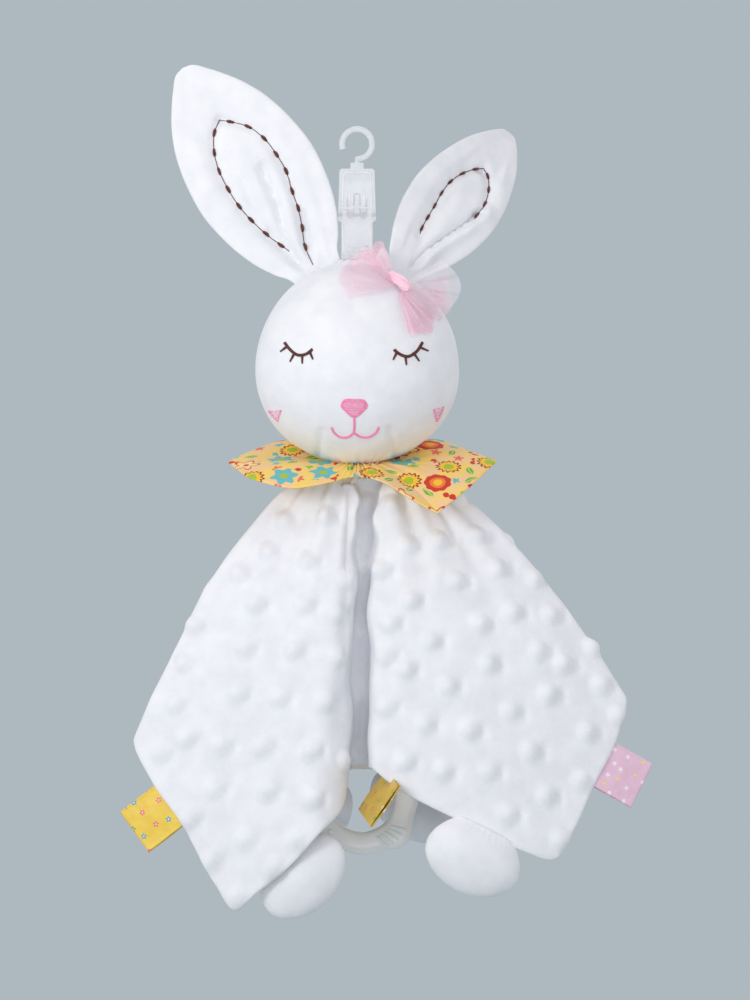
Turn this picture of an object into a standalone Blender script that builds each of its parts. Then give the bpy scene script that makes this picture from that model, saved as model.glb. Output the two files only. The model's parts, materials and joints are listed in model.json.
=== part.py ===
# Rabbit comfort blanket hanging from a clear plastic clip.
# Metres, +Z up, +X to the viewer's right, -Y towards the viewer.
# The origin is the seat of the hook, the point that rests on a display rail.

import math

import bmesh
import bpy
from mathutils import Matrix, Vector

MM = 0.001
COLLECTION = "comfort_blanket_lovey"

# Gaps between neighbouring pieces
seat_gap = 0.3 * MM
running_gap = 0.25 * MM
overrun = 2 * MM
weld_distance = 0.01 * MM
jaw_clearance = 1.2 * MM
tag_gap = 0.5 * MM
stitch_gap = 0.45 * MM

# Clip
hook_bore = 12 * MM
hook_wire = 3 * MM
hook_open_from = 200
clip_drop = 18.5 * MM
clip_length = 45 * MM
clip_top_width = 17.5 * MM
clip_width = 19 * MM
stem_width = 6.5 * MM
clip_wall = 3.2 * MM
pin_drop = 23 * MM
pin_back = 1.3 * MM
pin_diameter = 1.6 * MM
jaw_width = 15.5 * MM
lug_width = 1.8 * MM
lug_size = 5.4 * MM
lever_wall = 2.4 * MM
lever_drop = 6 * MM
lever_lean = 7.5 * MM
jaw_bow = 2.8 * MM
spring_wire = 0.7 * MM
spring_bore = 3.2 * MM
spring_turns = 2.5
arm_share = 1.6
spring_pitch = 1.3 * MM
spring_loop_width = 3 * MM
spring_loop_length = 10.5 * MM
spring_leg_length = 8 * MM

# Head
head_width = 102 * MM
head_depth = 92 * MM
head_upper_height = 55 * MM
head_lower_height = 46.5 * MM
plush_wall = 1.4 * MM
neck_radius = 13 * MM
filling_inset = 1.8 * MM
neck_lift = 1 * MM
tuck_thickness = 3 * MM
tuck_width = 17 * MM
tuck_height = 9 * MM

# Ears
left_ear_length = 121 * MM
left_ear_width = 64 * MM
right_ear_length = 118 * MM
right_ear_width = 47.5 * MM
ear_thickness = 11 * MM
ear_cup = 5 * MM
ear_side_count = 16
left_ear_gap = 1.2 * MM
right_ear_gap = 1.8 * MM
left_ear_place = (-20.5 * MM, -1 * MM)
right_ear_place = (22.3 * MM, 4 * MM)
left_ear_turns = {"tilt": -33.6, "turn": 0, "lean_start": 4, "lean_end": 12}
right_ear_turns = {"tilt": 37.5, "turn": 15, "lean_start": 28, "lean_end": 52}
thread_radius = 0.45 * MM
dash_radius = 0.95 * MM

# Face, satin stitched on the head
satin_height = 0.5 * MM
satin_gap = 0.38 * MM
lash_thread = 1.5 * MM
eye_width = 14 * MM
eye_sag = 4.5 * MM
lash_length = 4.2 * MM
nose_width = 13.5 * MM
nose_height = 8.8 * MM
mouth_width = 22.5 * MM
mouth_drop = 9 * MM
mouth_thread = 1.4 * MM
cheek_width = 5.6 * MM

# Bow of tulle
tulle_wall = 0.7 * MM
tulle_flute = 1.9 * MM
bow_knot_width = 8 * MM
bow_knot_height = 17 * MM
bow_knot_depth = 7 * MM
bow_wing_length = 27 * MM
bow_tail_length = 24 * MM
bow_wing_puff = 4 * MM
bow_tail_puff = 2 * MM
bow_clear_depth = 12 * MM
bow_angles = {"bow_left_wing": (158, 62), "bow_right_wing": (-12, 44), "bow_tail": (-62, 38)}

# Collar
collar_wall = 1 * MM
collar_reach = 66 * MM
collar_depth = 42 * MM
collar_fall = 25 * MM

# Blanket: a square of minky lined with plush, gathered under the head
blanket_reach = 134 * MM
blanket_depth = 42 * MM
blanket_fall = 214 * MM
neck_length = 4 * MM
minky_wall = 2.2 * MM
lining_wall = 1.2 * MM
lining_gap = 0.9 * MM
shoulder_share = 0.48
shoulder_depth_share = 0.75
shoulder_rise = 1 * MM
hem_row_count = 9

# Paws sewn into the hem
paw_width = 50 * MM
paw_length = 32 * MM
paw_thickness = 19 * MM
paw_tuck = 7.5 * MM
paw_nest = 10.15 * MM
paw_wall = 1.2 * MM

# Ribbon tags
ribbon_width = 25 * MM
ribbon_wall = 0.6 * MM
tag_length = 20 * MM
tag_space = 1.2 * MM

# Teether
teether_width = 64 * MM
teether_bore = 33 * MM
teether_wall = 8 * MM
teether_round = 2 * MM
loop_width = 10 * MM
loop_wall = 0.8 * MM
loop_play = 1.2 * MM
teether_drop = 35 * MM
teether_back = 8.5 * MM

# Outlines, as shares of the sizes above
tuck_outline_shares = [(-0.5, 0), (0.5, 0), (0.38, 0.7), (0.25, 1), (-0.25, 1), (-0.38, 0.7)]
left_ear_width_shares = [(0.0, 0.40), (0.07, 0.56), (0.17, 0.78), (0.30, 0.95), (0.44, 1.02),
                         (0.57, 0.98), (0.69, 0.88), (0.80, 0.71), (0.89, 0.50), (0.95, 0.32),
                         (1.0, 0.12)]
right_ear_width_shares = [(0.0, 0.40), (0.07, 0.56), (0.17, 0.80), (0.30, 0.97), (0.42, 1.02),
                          (0.54, 0.97), (0.66, 0.85), (0.77, 0.70), (0.87, 0.51), (0.94, 0.33),
                          (1.0, 0.13)]
stitch_width_share = 0.52
stitch_from_share = 0.13
stitch_to_share = 0.80
cover_inner_share = 0.96
wadding_shares = (0.03, 0.90)
fade_share = 0.28
fade_end_shares = (0.06, 0.88)
lash_root_share = 1.3
lash_tip_share = 0.6
lash_shares = [(-0.93, -128), (-0.36, -108), (0.22, -78), (0.80, -42)]
mouth_sag_share = 0.3
nose_shares = [(-0.36, 0.5), (0.36, 0.5), (0.5, 0.34), (0.46, 0.1), (0.12, -0.44), (0, -0.5),
               (-0.12, -0.44), (-0.46, 0.1), (-0.5, 0.34)]
cheek_shares = [(0, 0.28), (0.22, 0.5), (0.46, 0.4), (0.48, 0.1), (0, -0.55), (-0.48, 0.1),
                (-0.46, 0.4), (-0.22, 0.5)]
eye_centre_shares = {"left": (-0.57, 0.20), "right": (0.505, 0.193)}
nose_centre_share = -0.385
cheek_centre_shares = {"left": (-0.80, -0.475), "right": (0.81, -0.465)}
bow_corner_share = 0.10
bow_knot_share = (0.38, 0.715)
bow_root_gaps = {"bow_left_wing": 1.2 * seat_gap, "bow_right_wing": -2.1 * seat_gap,
                 "bow_tail": -0.8 * seat_gap}

# Rim of the collar: across, back, and down, as shares of its reach, depth and fall
collar_rim_shares = [
    (0.0, -0.70, 0.28), (-0.20, -0.82, 0.40), (-0.46, -0.86, 0.52), (-0.76, -0.60, 0.34),
    (-0.96, -0.02, 0.02), (-0.78, 0.38, -0.18), (-0.52, 0.66, -0.38), (-0.14, 0.84, -0.24),
    (0.22, 0.84, -0.24), (0.58, 0.66, -0.40), (0.84, 0.36, -0.20), (1.04, -0.04, 0.0),
    (0.84, -0.64, 0.52), (0.60, -1.0, 0.98), (0.40, -0.98, 0.74), (0.18, -0.84, 0.40),
]

# Hem of the blanket, from the front valley round by the left, the back and the right:
# across, back, and down, as shares of its reach, depth and fall
hem_shares = [
    (0.019, -0.05, 0.687), (0.0, -0.12, 0.687), (-0.010, -0.40, 0.695), (-0.045, -0.76, 0.79),
    (-0.115, -0.90, 0.833), (-0.246, -0.90, 0.918), (-0.373, -0.86, 0.979), (-0.450, -0.81, 1.018),
    (-0.526, -0.74, 0.957), (-0.650, -0.62, 0.818), (-0.768, -0.46, 0.716),
    (-0.828, -0.24, 0.622), (-0.75, 0.0, 0.626), (-0.63, 0.14, 0.664), (-0.69, 0.38, 0.664),
    (-0.76, 0.57, 0.654), (-0.69, 0.81, 0.748), (-0.54, 0.95, 0.870), (-0.40, 1.0, 0.925),
    (-0.25, 1.0, 0.810), (-0.10, 1.0, 0.715), (-0.012, 0.88, 0.702), (0.0, 0.68, 0.695),
    (0.019, 0.60, 0.695), (0.038, 0.68, 0.695), (0.053, 0.88, 0.702), (0.164, 1.0, 0.715),
    (0.36, 1.0, 0.800), (0.567, 1.0, 0.900), (0.73, 0.86, 0.790), (0.895, 0.57, 0.636),
    (0.76, 0.14, 0.612), (1.0, -0.24, 0.528), (0.963, -0.43, 0.626), (0.873, -0.62, 0.738),
    (0.806, -0.71, 0.829), (0.731, -0.79, 0.900), (0.619, -0.86, 0.881), (0.463, -0.90, 0.832),
    (0.299, -0.90, 0.785), (0.149, -0.88, 0.734), (0.058, -0.79, 0.692), (0.041, -0.40, 0.690),
    (0.038, -0.12, 0.687),
]

# Paws, and where they sit on the hem: the point it follows, the share to the next one, and how far tucked in
paw_shares = [(0.0, 0.66), (0.12, 0.80), (0.28, 0.94), (0.46, 1.0), (0.64, 0.94), (0.80, 0.76),
              (0.92, 0.50), (0.985, 0.22)]
filling_shares = (0.06, 0.9)
paw_hem_shares = {"front_left": (4, 0.98, 1), "front_right": (37, 0.9, -0.07),
                  "back_right": (26, 0.45, 1), "back_left": (19, 0.2, 1)}
# The same for the tags, with how far each is turned, in degrees
tag_hem_shares = {"left_tag": (9, 0.4, 0), "right_tag": (33, 0.5, 0), "centre_tag": (40, 0.30, 55)}

# Places worked out from the sizes above
hook_centre = Vector((0, 0, -hook_bore / 2))
pin_z = -clip_drop - pin_drop
pin_place = Vector((0, pin_back, pin_z))
jaw_tip_z = -clip_drop - clip_length
head_centre = Vector((0, 0, jaw_tip_z - jaw_clearance - head_upper_height))
neck_z = head_centre.z - head_lower_height * math.sqrt(1 - (2 * neck_radius / head_width) ** 2)
blanket_z = neck_z - seat_gap - neck_length
bow_knot_lift = bow_knot_depth / 2 + 2 * seat_gap
hem_valley_z = blanket_z - hem_shares[0][2] * blanket_fall
teether_centre = Vector((hem_shares[0][0] * blanket_reach, teether_back, hem_valley_z - teether_drop / 2))


# Materials
def material(name, colour, roughness=0.9, metallic=0.0, alpha=1.0):
    made = bpy.data.materials.new(name)
    made.use_nodes = True
    shader = made.node_tree.nodes["Principled BSDF"]
    shader.inputs["Base Color"].default_value = (*colour, 1)
    shader.inputs["Roughness"].default_value = roughness
    shader.inputs["Metallic"].default_value = metallic
    shader.inputs["Alpha"].default_value = alpha
    made.diffuse_color = (*colour, alpha)
    return made


# Objects and meshes
def add(name, mesh, look, group):
    made = bpy.data.objects.new(name, mesh)
    mesh.materials.clear()
    mesh.materials.append(look)
    group.objects.link(made)
    return made


def pivot(made, place):
    """Puts the origin of an object on the axis that it turns about."""
    made.data.transform(Matrix.Translation(-place))
    made.location = place
    return made


def modifier(made, kind, **values):
    added = made.modifiers.new(kind.lower(), kind)
    for key, value in values.items():
        setattr(added, key, value)
    return added


def boolean(made, operation, other):
    modifier(made, "BOOLEAN", operation=operation, object=other, solver="EXACT")
    other.hide_render = True
    other.display_type = "WIRE"


def lofted(name, rings, cap_start=False, cap_end=False):
    """A skin through rings of points, each ring closed, with its faces turned out."""
    form = bmesh.new()
    rows = [[form.verts.new(point) for point in ring] for ring in rings]
    count = len(rows[0])
    for low, high in zip(rows, rows[1:]):
        for i in range(count):
            j = (i + 1) % count
            form.faces.new((low[i], low[j], high[j], high[i]))
    for wanted, row in ((cap_start, rows[0]), (cap_end, rows[-1])):
        if wanted:
            pole = form.verts.new(sum((vert.co for vert in row), Vector()) / count)
            for i in range(count):
                form.faces.new((row[i], row[(i + 1) % count], pole))
    bmesh.ops.recalc_face_normals(form, faces=form.faces)
    middle = sum((vert.co for vert in form.verts), Vector()) / len(form.verts)
    outward = sum((face.calc_center_median() - middle).dot(face.normal) * face.calc_area()
                  for face in form.faces)
    if outward < 0:
        bmesh.ops.reverse_faces(form, faces=form.faces)
    mesh = bpy.data.meshes.new(name)
    form.to_mesh(mesh)
    form.free()
    mesh.shade_smooth()
    return mesh


def shell(made, wall, depth=0.0, even=True):
    """Thickens an open skin inwards; depth is how far under the skin the wall starts."""
    modifier(made, "SOLIDIFY", thickness=wall, offset=-1 - 2 * depth / wall,
             use_even_offset=even, use_rim=True)


def evaluated_mesh(made):
    graph = bpy.context.evaluated_depsgraph_get()
    mesh = bpy.data.meshes.new_from_object(made.evaluated_get(graph))
    form = bmesh.new()
    form.from_mesh(mesh)
    bmesh.ops.remove_doubles(form, verts=form.verts, dist=weld_distance)
    bmesh.ops.recalc_face_normals(form, faces=form.faces)
    form.to_mesh(mesh)
    form.free()
    return mesh


def tube(name, points, radius, look, group, radii=None, sides=2, closed=False):
    """A round thread, wire or rod along points."""
    line = bpy.data.curves.new(name, "CURVE")
    line.dimensions = "3D"
    line.bevel_depth = radius
    line.bevel_resolution = sides
    line.use_fill_caps = True
    spline = line.splines.new("POLY")
    spline.points.add(len(points) - 1)
    for i, point in enumerate(points):
        spline.points[i].co = (*point, 1)
        spline.points[i].radius = radii[i] / radius if radii else 1
    spline.use_cyclic_u = closed
    made = bpy.data.objects.new(name, line)
    group.objects.link(made)
    bpy.context.view_layer.update()
    mesh = evaluated_mesh(made)
    bpy.data.objects.remove(made)
    return add(name, mesh, look, group)


def plate(name, outlines, thickness, look, group, rounding=0.0):
    """A flat plate in the XY plane, from one outline and any holes."""
    line = bpy.data.curves.new(name, "CURVE")
    line.dimensions = "2D"
    line.fill_mode = "BOTH"
    line.extrude = thickness / 2 - rounding
    line.bevel_depth = rounding
    line.offset = -rounding
    line.bevel_resolution = 1
    for outline in outlines:
        spline = line.splines.new("POLY")
        spline.points.add(len(outline) - 1)
        for i, point in enumerate(outline):
            spline.points[i].co = (point[0], point[1], 0, 1)
        spline.use_cyclic_u = True
    made = bpy.data.objects.new(name, line)
    group.objects.link(made)
    bpy.context.view_layer.update()
    mesh = evaluated_mesh(made)
    bpy.data.objects.remove(made)
    return add(name, mesh, look, group)


def block(name, size, centre, look, group):
    form = bmesh.new()
    bmesh.ops.create_cube(form, size=1)
    bmesh.ops.scale(form, vec=size, verts=form.verts)
    bmesh.ops.translate(form, vec=centre, verts=form.verts)
    mesh = bpy.data.meshes.new(name)
    form.to_mesh(mesh)
    form.free()
    return add(name, mesh, look, group)


def rod(name, radius, length, centre, look, group, sides=24):
    """A cylinder along X."""
    form = bmesh.new()
    bmesh.ops.create_cone(form, cap_ends=True, segments=sides, radius1=radius,
                          radius2=radius, depth=length)
    turn = Matrix.Translation(centre) @ Matrix.Rotation(math.pi / 2, 4, "Y")
    bmesh.ops.transform(form, matrix=turn, verts=form.verts)
    mesh = bpy.data.meshes.new(name)
    form.to_mesh(mesh)
    form.free()
    return add(name, mesh, look, group)


def arc(centre, radius, start, end, count):
    """Points on an arc in the XZ plane, angles in degrees from +X towards +Z."""
    angles = [math.radians(start + (end - start) * i / count) for i in range(count + 1)]
    return [centre + Vector((math.cos(a), 0, math.sin(a))) * radius for a in angles]


def standing(mesh_object, place=Vector()):
    """Turns a plate from the XY plane up into the XZ plane and moves it to its place."""
    turn = Matrix.Translation(place) @ Matrix.Rotation(math.pi / 2, 4, "X")
    mesh_object.data.transform(turn)
    return mesh_object


def sideways(mesh_object, place=Vector()):
    """Turns a plate from the XY plane into the YZ plane, its X to Y and its Y to Z."""
    turn = Matrix(((0, 0, 1, 0), (1, 0, 0, 0), (0, 1, 0, 0), (0, 0, 0, 1)))
    mesh_object.data.transform(Matrix.Translation(place) @ turn)
    return mesh_object


# Clip
def front_plate_y():
    """Middle of the front plate, which presses on the front of the tuck."""
    return -tuck_thickness / 2 - seat_gap - clip_wall / 2


def clip_front(group, tools, look):
    """Hook, stem, front plate and pin lugs, moulded in one."""
    half_top, half, half_jaw = clip_top_width / 2, clip_width / 2, jaw_width / 2
    top, step, tip = -clip_drop, pin_z - lug_size / 2, jaw_tip_z
    corner = half_top - half_jaw
    outline = [
        (-half_top + corner, top), (half_top - corner, top), (half_top, top - corner),
        (half, step), (half_jaw, step - corner), (half_jaw, tip + corner),
        (half_jaw - corner, tip), (-half_jaw + corner, tip), (-half_jaw, tip + corner),
        (-half_jaw, step - corner), (-half, step), (-half_top, top - corner),
    ]
    made = standing(plate("clip_front_jaw", [outline], clip_wall, look, group),
                    Vector((0, front_plate_y(), 0)))
    ring = arc(hook_centre, (hook_bore + hook_wire) / 2, -90, hook_open_from, 28)
    stem_foot = Vector((0, 0, -clip_drop - hook_wire / 2))
    hook = tube("hook_shape", [stem_foot] + ring, hook_wire / 2, look, tools, sides=3)
    boolean(made, "UNION", hook)
    bridge_back = hook_wire / 2
    bridge_front = front_plate_y() - clip_wall / 2
    bridge = block("bridge_shape", (stem_width, bridge_back - bridge_front, 2 * hook_wire),
                   Vector((0, (bridge_back + bridge_front) / 2, -clip_drop)), look, tools)
    boolean(made, "UNION", bridge)
    for side in (-1, 1):
        lug_back = pin_back + lug_size / 2
        lug_front = front_plate_y()
        lug = block(f"lug_shape_{side}", (lug_width, lug_back - lug_front, lug_size),
                    Vector((side * (half - lug_width / 2 - corner / 4),
                            (lug_back + lug_front) / 2, pin_z)), look, tools)
        boolean(made, "UNION", lug)
    hole = rod("front_pin_hole", pin_diameter / 2 + running_gap, clip_width + overrun,
               pin_place, look, tools)
    boolean(made, "DIFFERENCE", hole)
    return made


def lug_inner():
    """Distance from the middle to the inner side of a front lug."""
    corner = (clip_top_width - jaw_width) / 2
    return clip_width / 2 - lug_width - corner / 4


def lever_inner(z):
    """Inner face of the back jaw and its lever at a height."""
    inner = tuck_thickness / 2 + seat_gap
    top = -clip_drop - lever_drop
    if z < pin_z:
        return inner + jaw_bow * (z - jaw_tip_z) / (pin_z - jaw_tip_z)
    return inner + jaw_bow + (lever_lean - jaw_bow) * (z - pin_z) / (top - pin_z)


def clip_back(group, tools, look):
    """Back jaw and thumb lever in one bent plate, with two round lugs on the pin."""
    top = -clip_drop - lever_drop
    heights = (jaw_tip_z, pin_z, top)
    profile = [(lever_inner(z), z) for z in reversed(heights)]
    profile += [(lever_inner(z) + lever_wall, z) for z in heights]
    made = sideways(plate("clip_back_jaw", [profile], jaw_width, look, group))
    lug_middle = lug_inner() - running_gap - lug_width / 2
    radius = pin_back - front_plate_y() - clip_wall / 2 - 2 * seat_gap
    reach = lever_inner(pin_z) + lever_wall / 2 - pin_back
    for side in (-1, 1):
        centre = pin_place + Vector((side * lug_middle, 0, 0))
        boolean(made, "UNION", rod(f"back_lug_shape_{side}", radius, lug_width, centre,
                                   look, tools))
        arm = block(f"back_arm_shape_{side}", (lug_width - weld_distance * 2, reach, arm_share * radius),
                    centre + Vector((0, reach / 2, 0)), look, tools)
        boolean(made, "UNION", arm)
    hole = rod("back_pin_hole", pin_diameter / 2 + running_gap, clip_width + overrun,
               pin_place, look, tools)
    boolean(made, "DIFFERENCE", hole)
    return pivot(made, pin_place)


def clip_pin(group, look):
    return rod("clip_pin", pin_diameter / 2, clip_width, pin_place, look, group, 16)


def spring_route():
    """Two short coils on the pin joined by a loop that leans on the front plate."""
    radius = (spring_bore + spring_wire) / 2
    lean_y = front_plate_y() + (clip_wall + spring_wire) / 2 + running_gap
    start = spring_loop_width / 2
    end = start + spring_turns * spring_pitch
    steps = 8
    points = round(spring_turns * steps)
    half_route = [Vector((0, lean_y, pin_z + spring_loop_length)),
                  Vector((start - spring_wire / 2, lean_y, pin_z + spring_loop_length)),
                  Vector((start, lean_y, pin_z + spring_loop_length - spring_wire)),
                  Vector((start, pin_back - radius, pin_z + radius - spring_wire / 2))]
    for i in range(points + 1):
        angle = math.pi + 2 * math.pi * i / steps
        x = start + (end - start) * i / points
        half_route.append(pin_place + Vector((x, radius * math.cos(angle),
                                              -radius * math.sin(angle))))
    leg_z = pin_z + spring_leg_length
    half_route.append(Vector((end, lever_inner(leg_z) - spring_wire / 2 - running_gap, leg_z)))
    mirrored = [Vector((-p.x, p.y, p.z)) for p in reversed(half_route[1:])]
    return mirrored + half_route


def least_gap(route, wire, apart):
    """Smallest clear distance between points of a wire that are apart steps apart."""
    return min((route[i] - route[j]).length - wire
               for i in range(len(route)) for j in range(i + apart, len(route)))


def clip_spring(group, look):
    route = spring_route()
    print("clip spring least gap to itself, mm:",
          round(least_gap(route, spring_wire, 5) / MM, 2))
    return tube("clip_spring", route, spring_wire / 2, look, group, sides=1)


# Head
def half_height(rise):
    """The head is taller above its widest place than below it."""
    return head_upper_height if rise > 0 else head_lower_height


def head_depth_at(x, z):
    """How far the front of the head stands from its middle, at x and z."""
    rise = z - head_centre.z
    across = (2 * x / head_width) ** 2
    return head_depth / 2 * math.sqrt(max(0.0, 1 - across - (rise / half_height(rise)) ** 2))


def head_under(x, y):
    """Height of the underside of the head at x and y."""
    across = (2 * x / head_width) ** 2 + (2 * y / head_depth) ** 2
    return head_centre.z - head_lower_height * math.sqrt(max(0.0, 1 - across))


def head_over(x, y):
    """Height of the top of the head at x and y."""
    across = (2 * x / head_width) ** 2 + (2 * y / head_depth) ** 2
    return head_centre.z + head_upper_height * math.sqrt(max(0.0, 1 - across))


def head_ball(inset, lift):
    """A ball, taller above its widest place than below it, cut off flat at the neck."""
    form = bmesh.new()
    bmesh.ops.create_uvsphere(form, u_segments=22, v_segments=16, radius=1)
    for vert in form.verts:
        x, y, rise = vert.co
        vert.co = head_centre + Vector((x * (head_width / 2 - inset),
                                        y * (head_depth / 2 - inset),
                                        rise * (half_height(rise) - inset)))
    parts = form.verts[:] + form.edges[:] + form.faces[:]
    bmesh.ops.bisect_plane(form, geom=parts, plane_co=(0, 0, neck_z + lift),
                           plane_no=(0, 0, -1), clear_outer=True)
    return form


def head(group, white, fill):
    for name, inset, lift, look in (("head_cover", 0, 0, white),
                                    ("head_filling", filling_inset, neck_lift, fill)):
        form = head_ball(inset, lift)
        if name == "head_filling":
            bmesh.ops.holes_fill(form, edges=form.edges, sides=0)
        mesh = bpy.data.meshes.new(name)
        form.to_mesh(mesh)
        form.free()
        mesh.shade_smooth()
        made = add(name, mesh, look, group)
        if name == "head_cover":
            shell(made, plush_wall)


def crown_tuck(group, look):
    """Pinched fold of the cover that the jaws of the clip hold."""
    foot = head_centre.z + head_upper_height + seat_gap
    outline = [(x * tuck_width, foot + z * tuck_height) for x, z in tuck_outline_shares]
    return standing(plate("crown_tuck", [outline], tuck_thickness, look, group))


# Ears
def ear_root(place, gap):
    """Where the middle line of an ear leaves the head, given its place seen from above."""
    across, back = place
    return Vector((across, back, head_over(across, back) + gap))


class Ear:
    """A flat stuffed ear: a middle line that leans back, with lens-shaped sections."""

    def __init__(self, length, width, width_shares, root, tilt, turn, lean_start, lean_end):
        self.length, self.width, self.root = length, width, root
        self.width_shares = width_shares
        self.tilt, self.turn = math.radians(tilt), math.radians(turn)
        self.lean_start, self.lean_end = math.radians(lean_start), math.radians(lean_end)

    def frame(self, share):
        """Place and the across, forward and along directions at a share of the length."""
        steps = 12
        y = z = 0.0
        for i in range(steps):
            lean = self.lean_start + (self.lean_end - self.lean_start) * share * (i + 0.5) / steps
            y += math.sin(lean) * share * self.length / steps
            z += math.cos(lean) * share * self.length / steps
        lean = self.lean_start + (self.lean_end - self.lean_start) * share
        spin = Matrix.Rotation(self.tilt, 3, "Y")
        twist = Matrix.Rotation(self.turn, 3, "Z")
        place = self.root + spin @ Vector((0, y, z))
        across = spin @ twist @ Vector((1, 0, 0))
        along = spin @ Vector((0, math.sin(lean), math.cos(lean)))
        return place, across, across.cross(along), along

    def section(self, share, width_share, inset, count, fade):
        place, across, back, _ = self.frame(share)
        back = -back
        whole = self.width / 2 * width_share
        half = whole - 3 * inset
        thick = ear_thickness / 2 * fade - inset
        ring = []
        for i in range(count):
            angle = 2 * math.pi * i / count
            u, v = math.cos(angle), math.sin(angle)
            cup = ear_cup * width_share * (0.5 - (u * half / whole) ** 2)
            ring.append(place + across * (u * half) + back * (v * thick + cup))
        return ring

    def front(self, share, side_share):
        """A point on the front face; side_share goes from -1 to 1 across the ear."""
        width_share = self.width_share_at(share)
        place, across, back, _ = self.frame(share)
        back = -back
        u = side_share
        cup = ear_cup * width_share * (0.5 - u * u)
        thick = ear_thickness / 2 * math.sqrt(max(0.0, 1 - u * u)) * fade_at(share)
        raised = dash_radius + stitch_gap
        return place + across * (u * self.width / 2 * width_share) + back * (cup - thick - raised)

    def rings(self, inset, count, start_share, end_share):
        found = []
        for share, _ in self.width_shares:
            along = start_share + (end_share - start_share) * share
            wide = self.width_share_at(along)
            found.append(self.section(along, wide, inset, count, fade_at(along)))
        return found

    def width_share_at(self, share):
        """The ear's half width at a share of its length, as a share of its widest."""
        for low, high in zip(self.width_shares, self.width_shares[1:]):
            if low[0] <= share <= high[0]:
                part = (share - low[0]) / (high[0] - low[0])
                return low[1] + (high[1] - low[1]) * part
        return self.width_shares[-1][1]


def fade_at(share):
    """The ear thins towards its tip and its root."""
    start, run = fade_end_shares
    return fade_share + (1 - fade_share) * math.sin(math.pi * (start + run * share))


def ear(side, shape, group, white, fill, thread):
    inner = shape.rings(plush_wall, ear_side_count, 0, cover_inner_share)
    skin = add(f"{side}_ear_cover",
               lofted(f"{side}_ear_cover", inner[::-1] + shape.rings(0, ear_side_count, 0, 1),
                      cap_start=True, cap_end=True), white, group)
    wadding = add(f"{side}_ear_wadding",
                  lofted(f"{side}_ear_wadding", shape.rings(plush_wall + 2 * seat_gap, ear_side_count,
                                                            *wadding_shares),
                         cap_start=True, cap_end=True), fill, group)
    route, radii = stitch_route(shape)
    stitch = tube(f"{side}_ear_stitch", route, dash_radius, thread, group, radii=radii, sides=1)
    for piece in (skin, wadding, stitch):
        pivot(piece, shape.root)


def stitch_route(shape):
    """Running stitch round the inner ear: thick dashes joined by a thin thread."""
    count = 14
    route, radii = [], []
    for i in range(count):
        for part, radius in ((0.12, thread_radius), (0.25, dash_radius), (0.75, dash_radius),
                             (0.88, thread_radius)):
            t = (i + part) / count
            arch = math.sin(math.pi * t) ** 0.75
            along = stitch_from_share + (stitch_to_share - stitch_from_share) * arch
            side = stitch_width_share * math.cos(math.pi * t) * (0.55 + 0.45 * arch)
            route.append(shape.front(along, side))
            radii.append(radius)
    return route, radii


# Face
def on_head(x, z, lift):
    """A place at a height over the front of the head, and the way out of the head there."""
    on = Vector((x, -head_depth_at(x, z), z))
    out = Vector((on.x / head_width ** 2, on.y / head_depth ** 2,
                  (z - head_centre.z) / (2 * half_height(z - head_centre.z)) ** 2)).normalized()
    return on + out * lift, out


def onto_head(made):
    """Bends a standing plate so that it follows the front of the head."""
    for vert in made.data.vertices:
        x, y, z = vert.co
        vert.co = on_head(x, z, satin_gap + satin_height / 2 - y)[0]
    return made


def finer(made, cuts):
    form = bmesh.new()
    form.from_mesh(made.data)
    bmesh.ops.triangulate(form, faces=form.faces)
    bmesh.ops.subdivide_edges(form, edges=form.edges, cuts=cuts, use_grid_fill=True)
    bmesh.ops.triangulate(form, faces=form.faces)
    form.to_mesh(made.data)
    form.free()
    return made


def eye_outline(centre, facing):
    """A sagging lid line with four short lashes, as one outline."""
    half = eye_width / 2
    thread = lash_thread / 2
    over = [(centre[0] + u * half, centre[1] - eye_sag * (1 - u * u) + thread)
            for u in (i / 5 for i in range(-5, 6))]
    under = []
    for u, angle in reversed(lash_shares):
        root = (centre[0] + u * half * facing, centre[1] - eye_sag * (1 - u * u) - thread)
        angle = math.radians(angle if facing > 0 else -180 - angle)
        end = (root[0] + math.cos(angle) * lash_length, root[1] + math.sin(angle) * lash_length)
        side = (-math.sin(angle) * thread, math.cos(angle) * thread)
        corners = []
        for place, size in ((root, lash_root_share), (end, lash_tip_share)):
            pair = [(place[0] + side[0] * size * way, place[1] + side[1] * size * way)
                    for way in (-1, 1)]
            corners.append(sorted(pair, reverse=True))
        under += [corners[0][0], corners[1][0], corners[1][1], corners[0][1]]
    if facing < 0:
        blocks = [under[i:i + 4] for i in range(0, len(under), 4)]
        under = [point for four in reversed(blocks) for point in four]
    return over + under


def mouth_outline(centre):
    """An upright line under the nose that parts into two upturned curves."""
    half, thread = mouth_width / 2, mouth_thread / 2

    def curve(u):
        return centre[1] - mouth_drop + mouth_drop / 2 * ((2 * abs(u) - 1) ** 2 - mouth_sag_share)

    def row(start, end, raised):
        return [(centre[0] + u * half, curve(u) + raised)
                for u in (start + (end - start) * i / 5 for i in range(6))]

    notch = thread / half
    bottom = row(-1, -2 * notch, -thread) + row(2 * notch, 1, -thread)
    top_right = row(1, notch, thread)
    top_left = row(-notch, -1, thread)
    upright = [(centre[0] + thread, centre[1]), (centre[0] - thread, centre[1])]
    return bottom + top_right + upright + top_left


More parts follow.
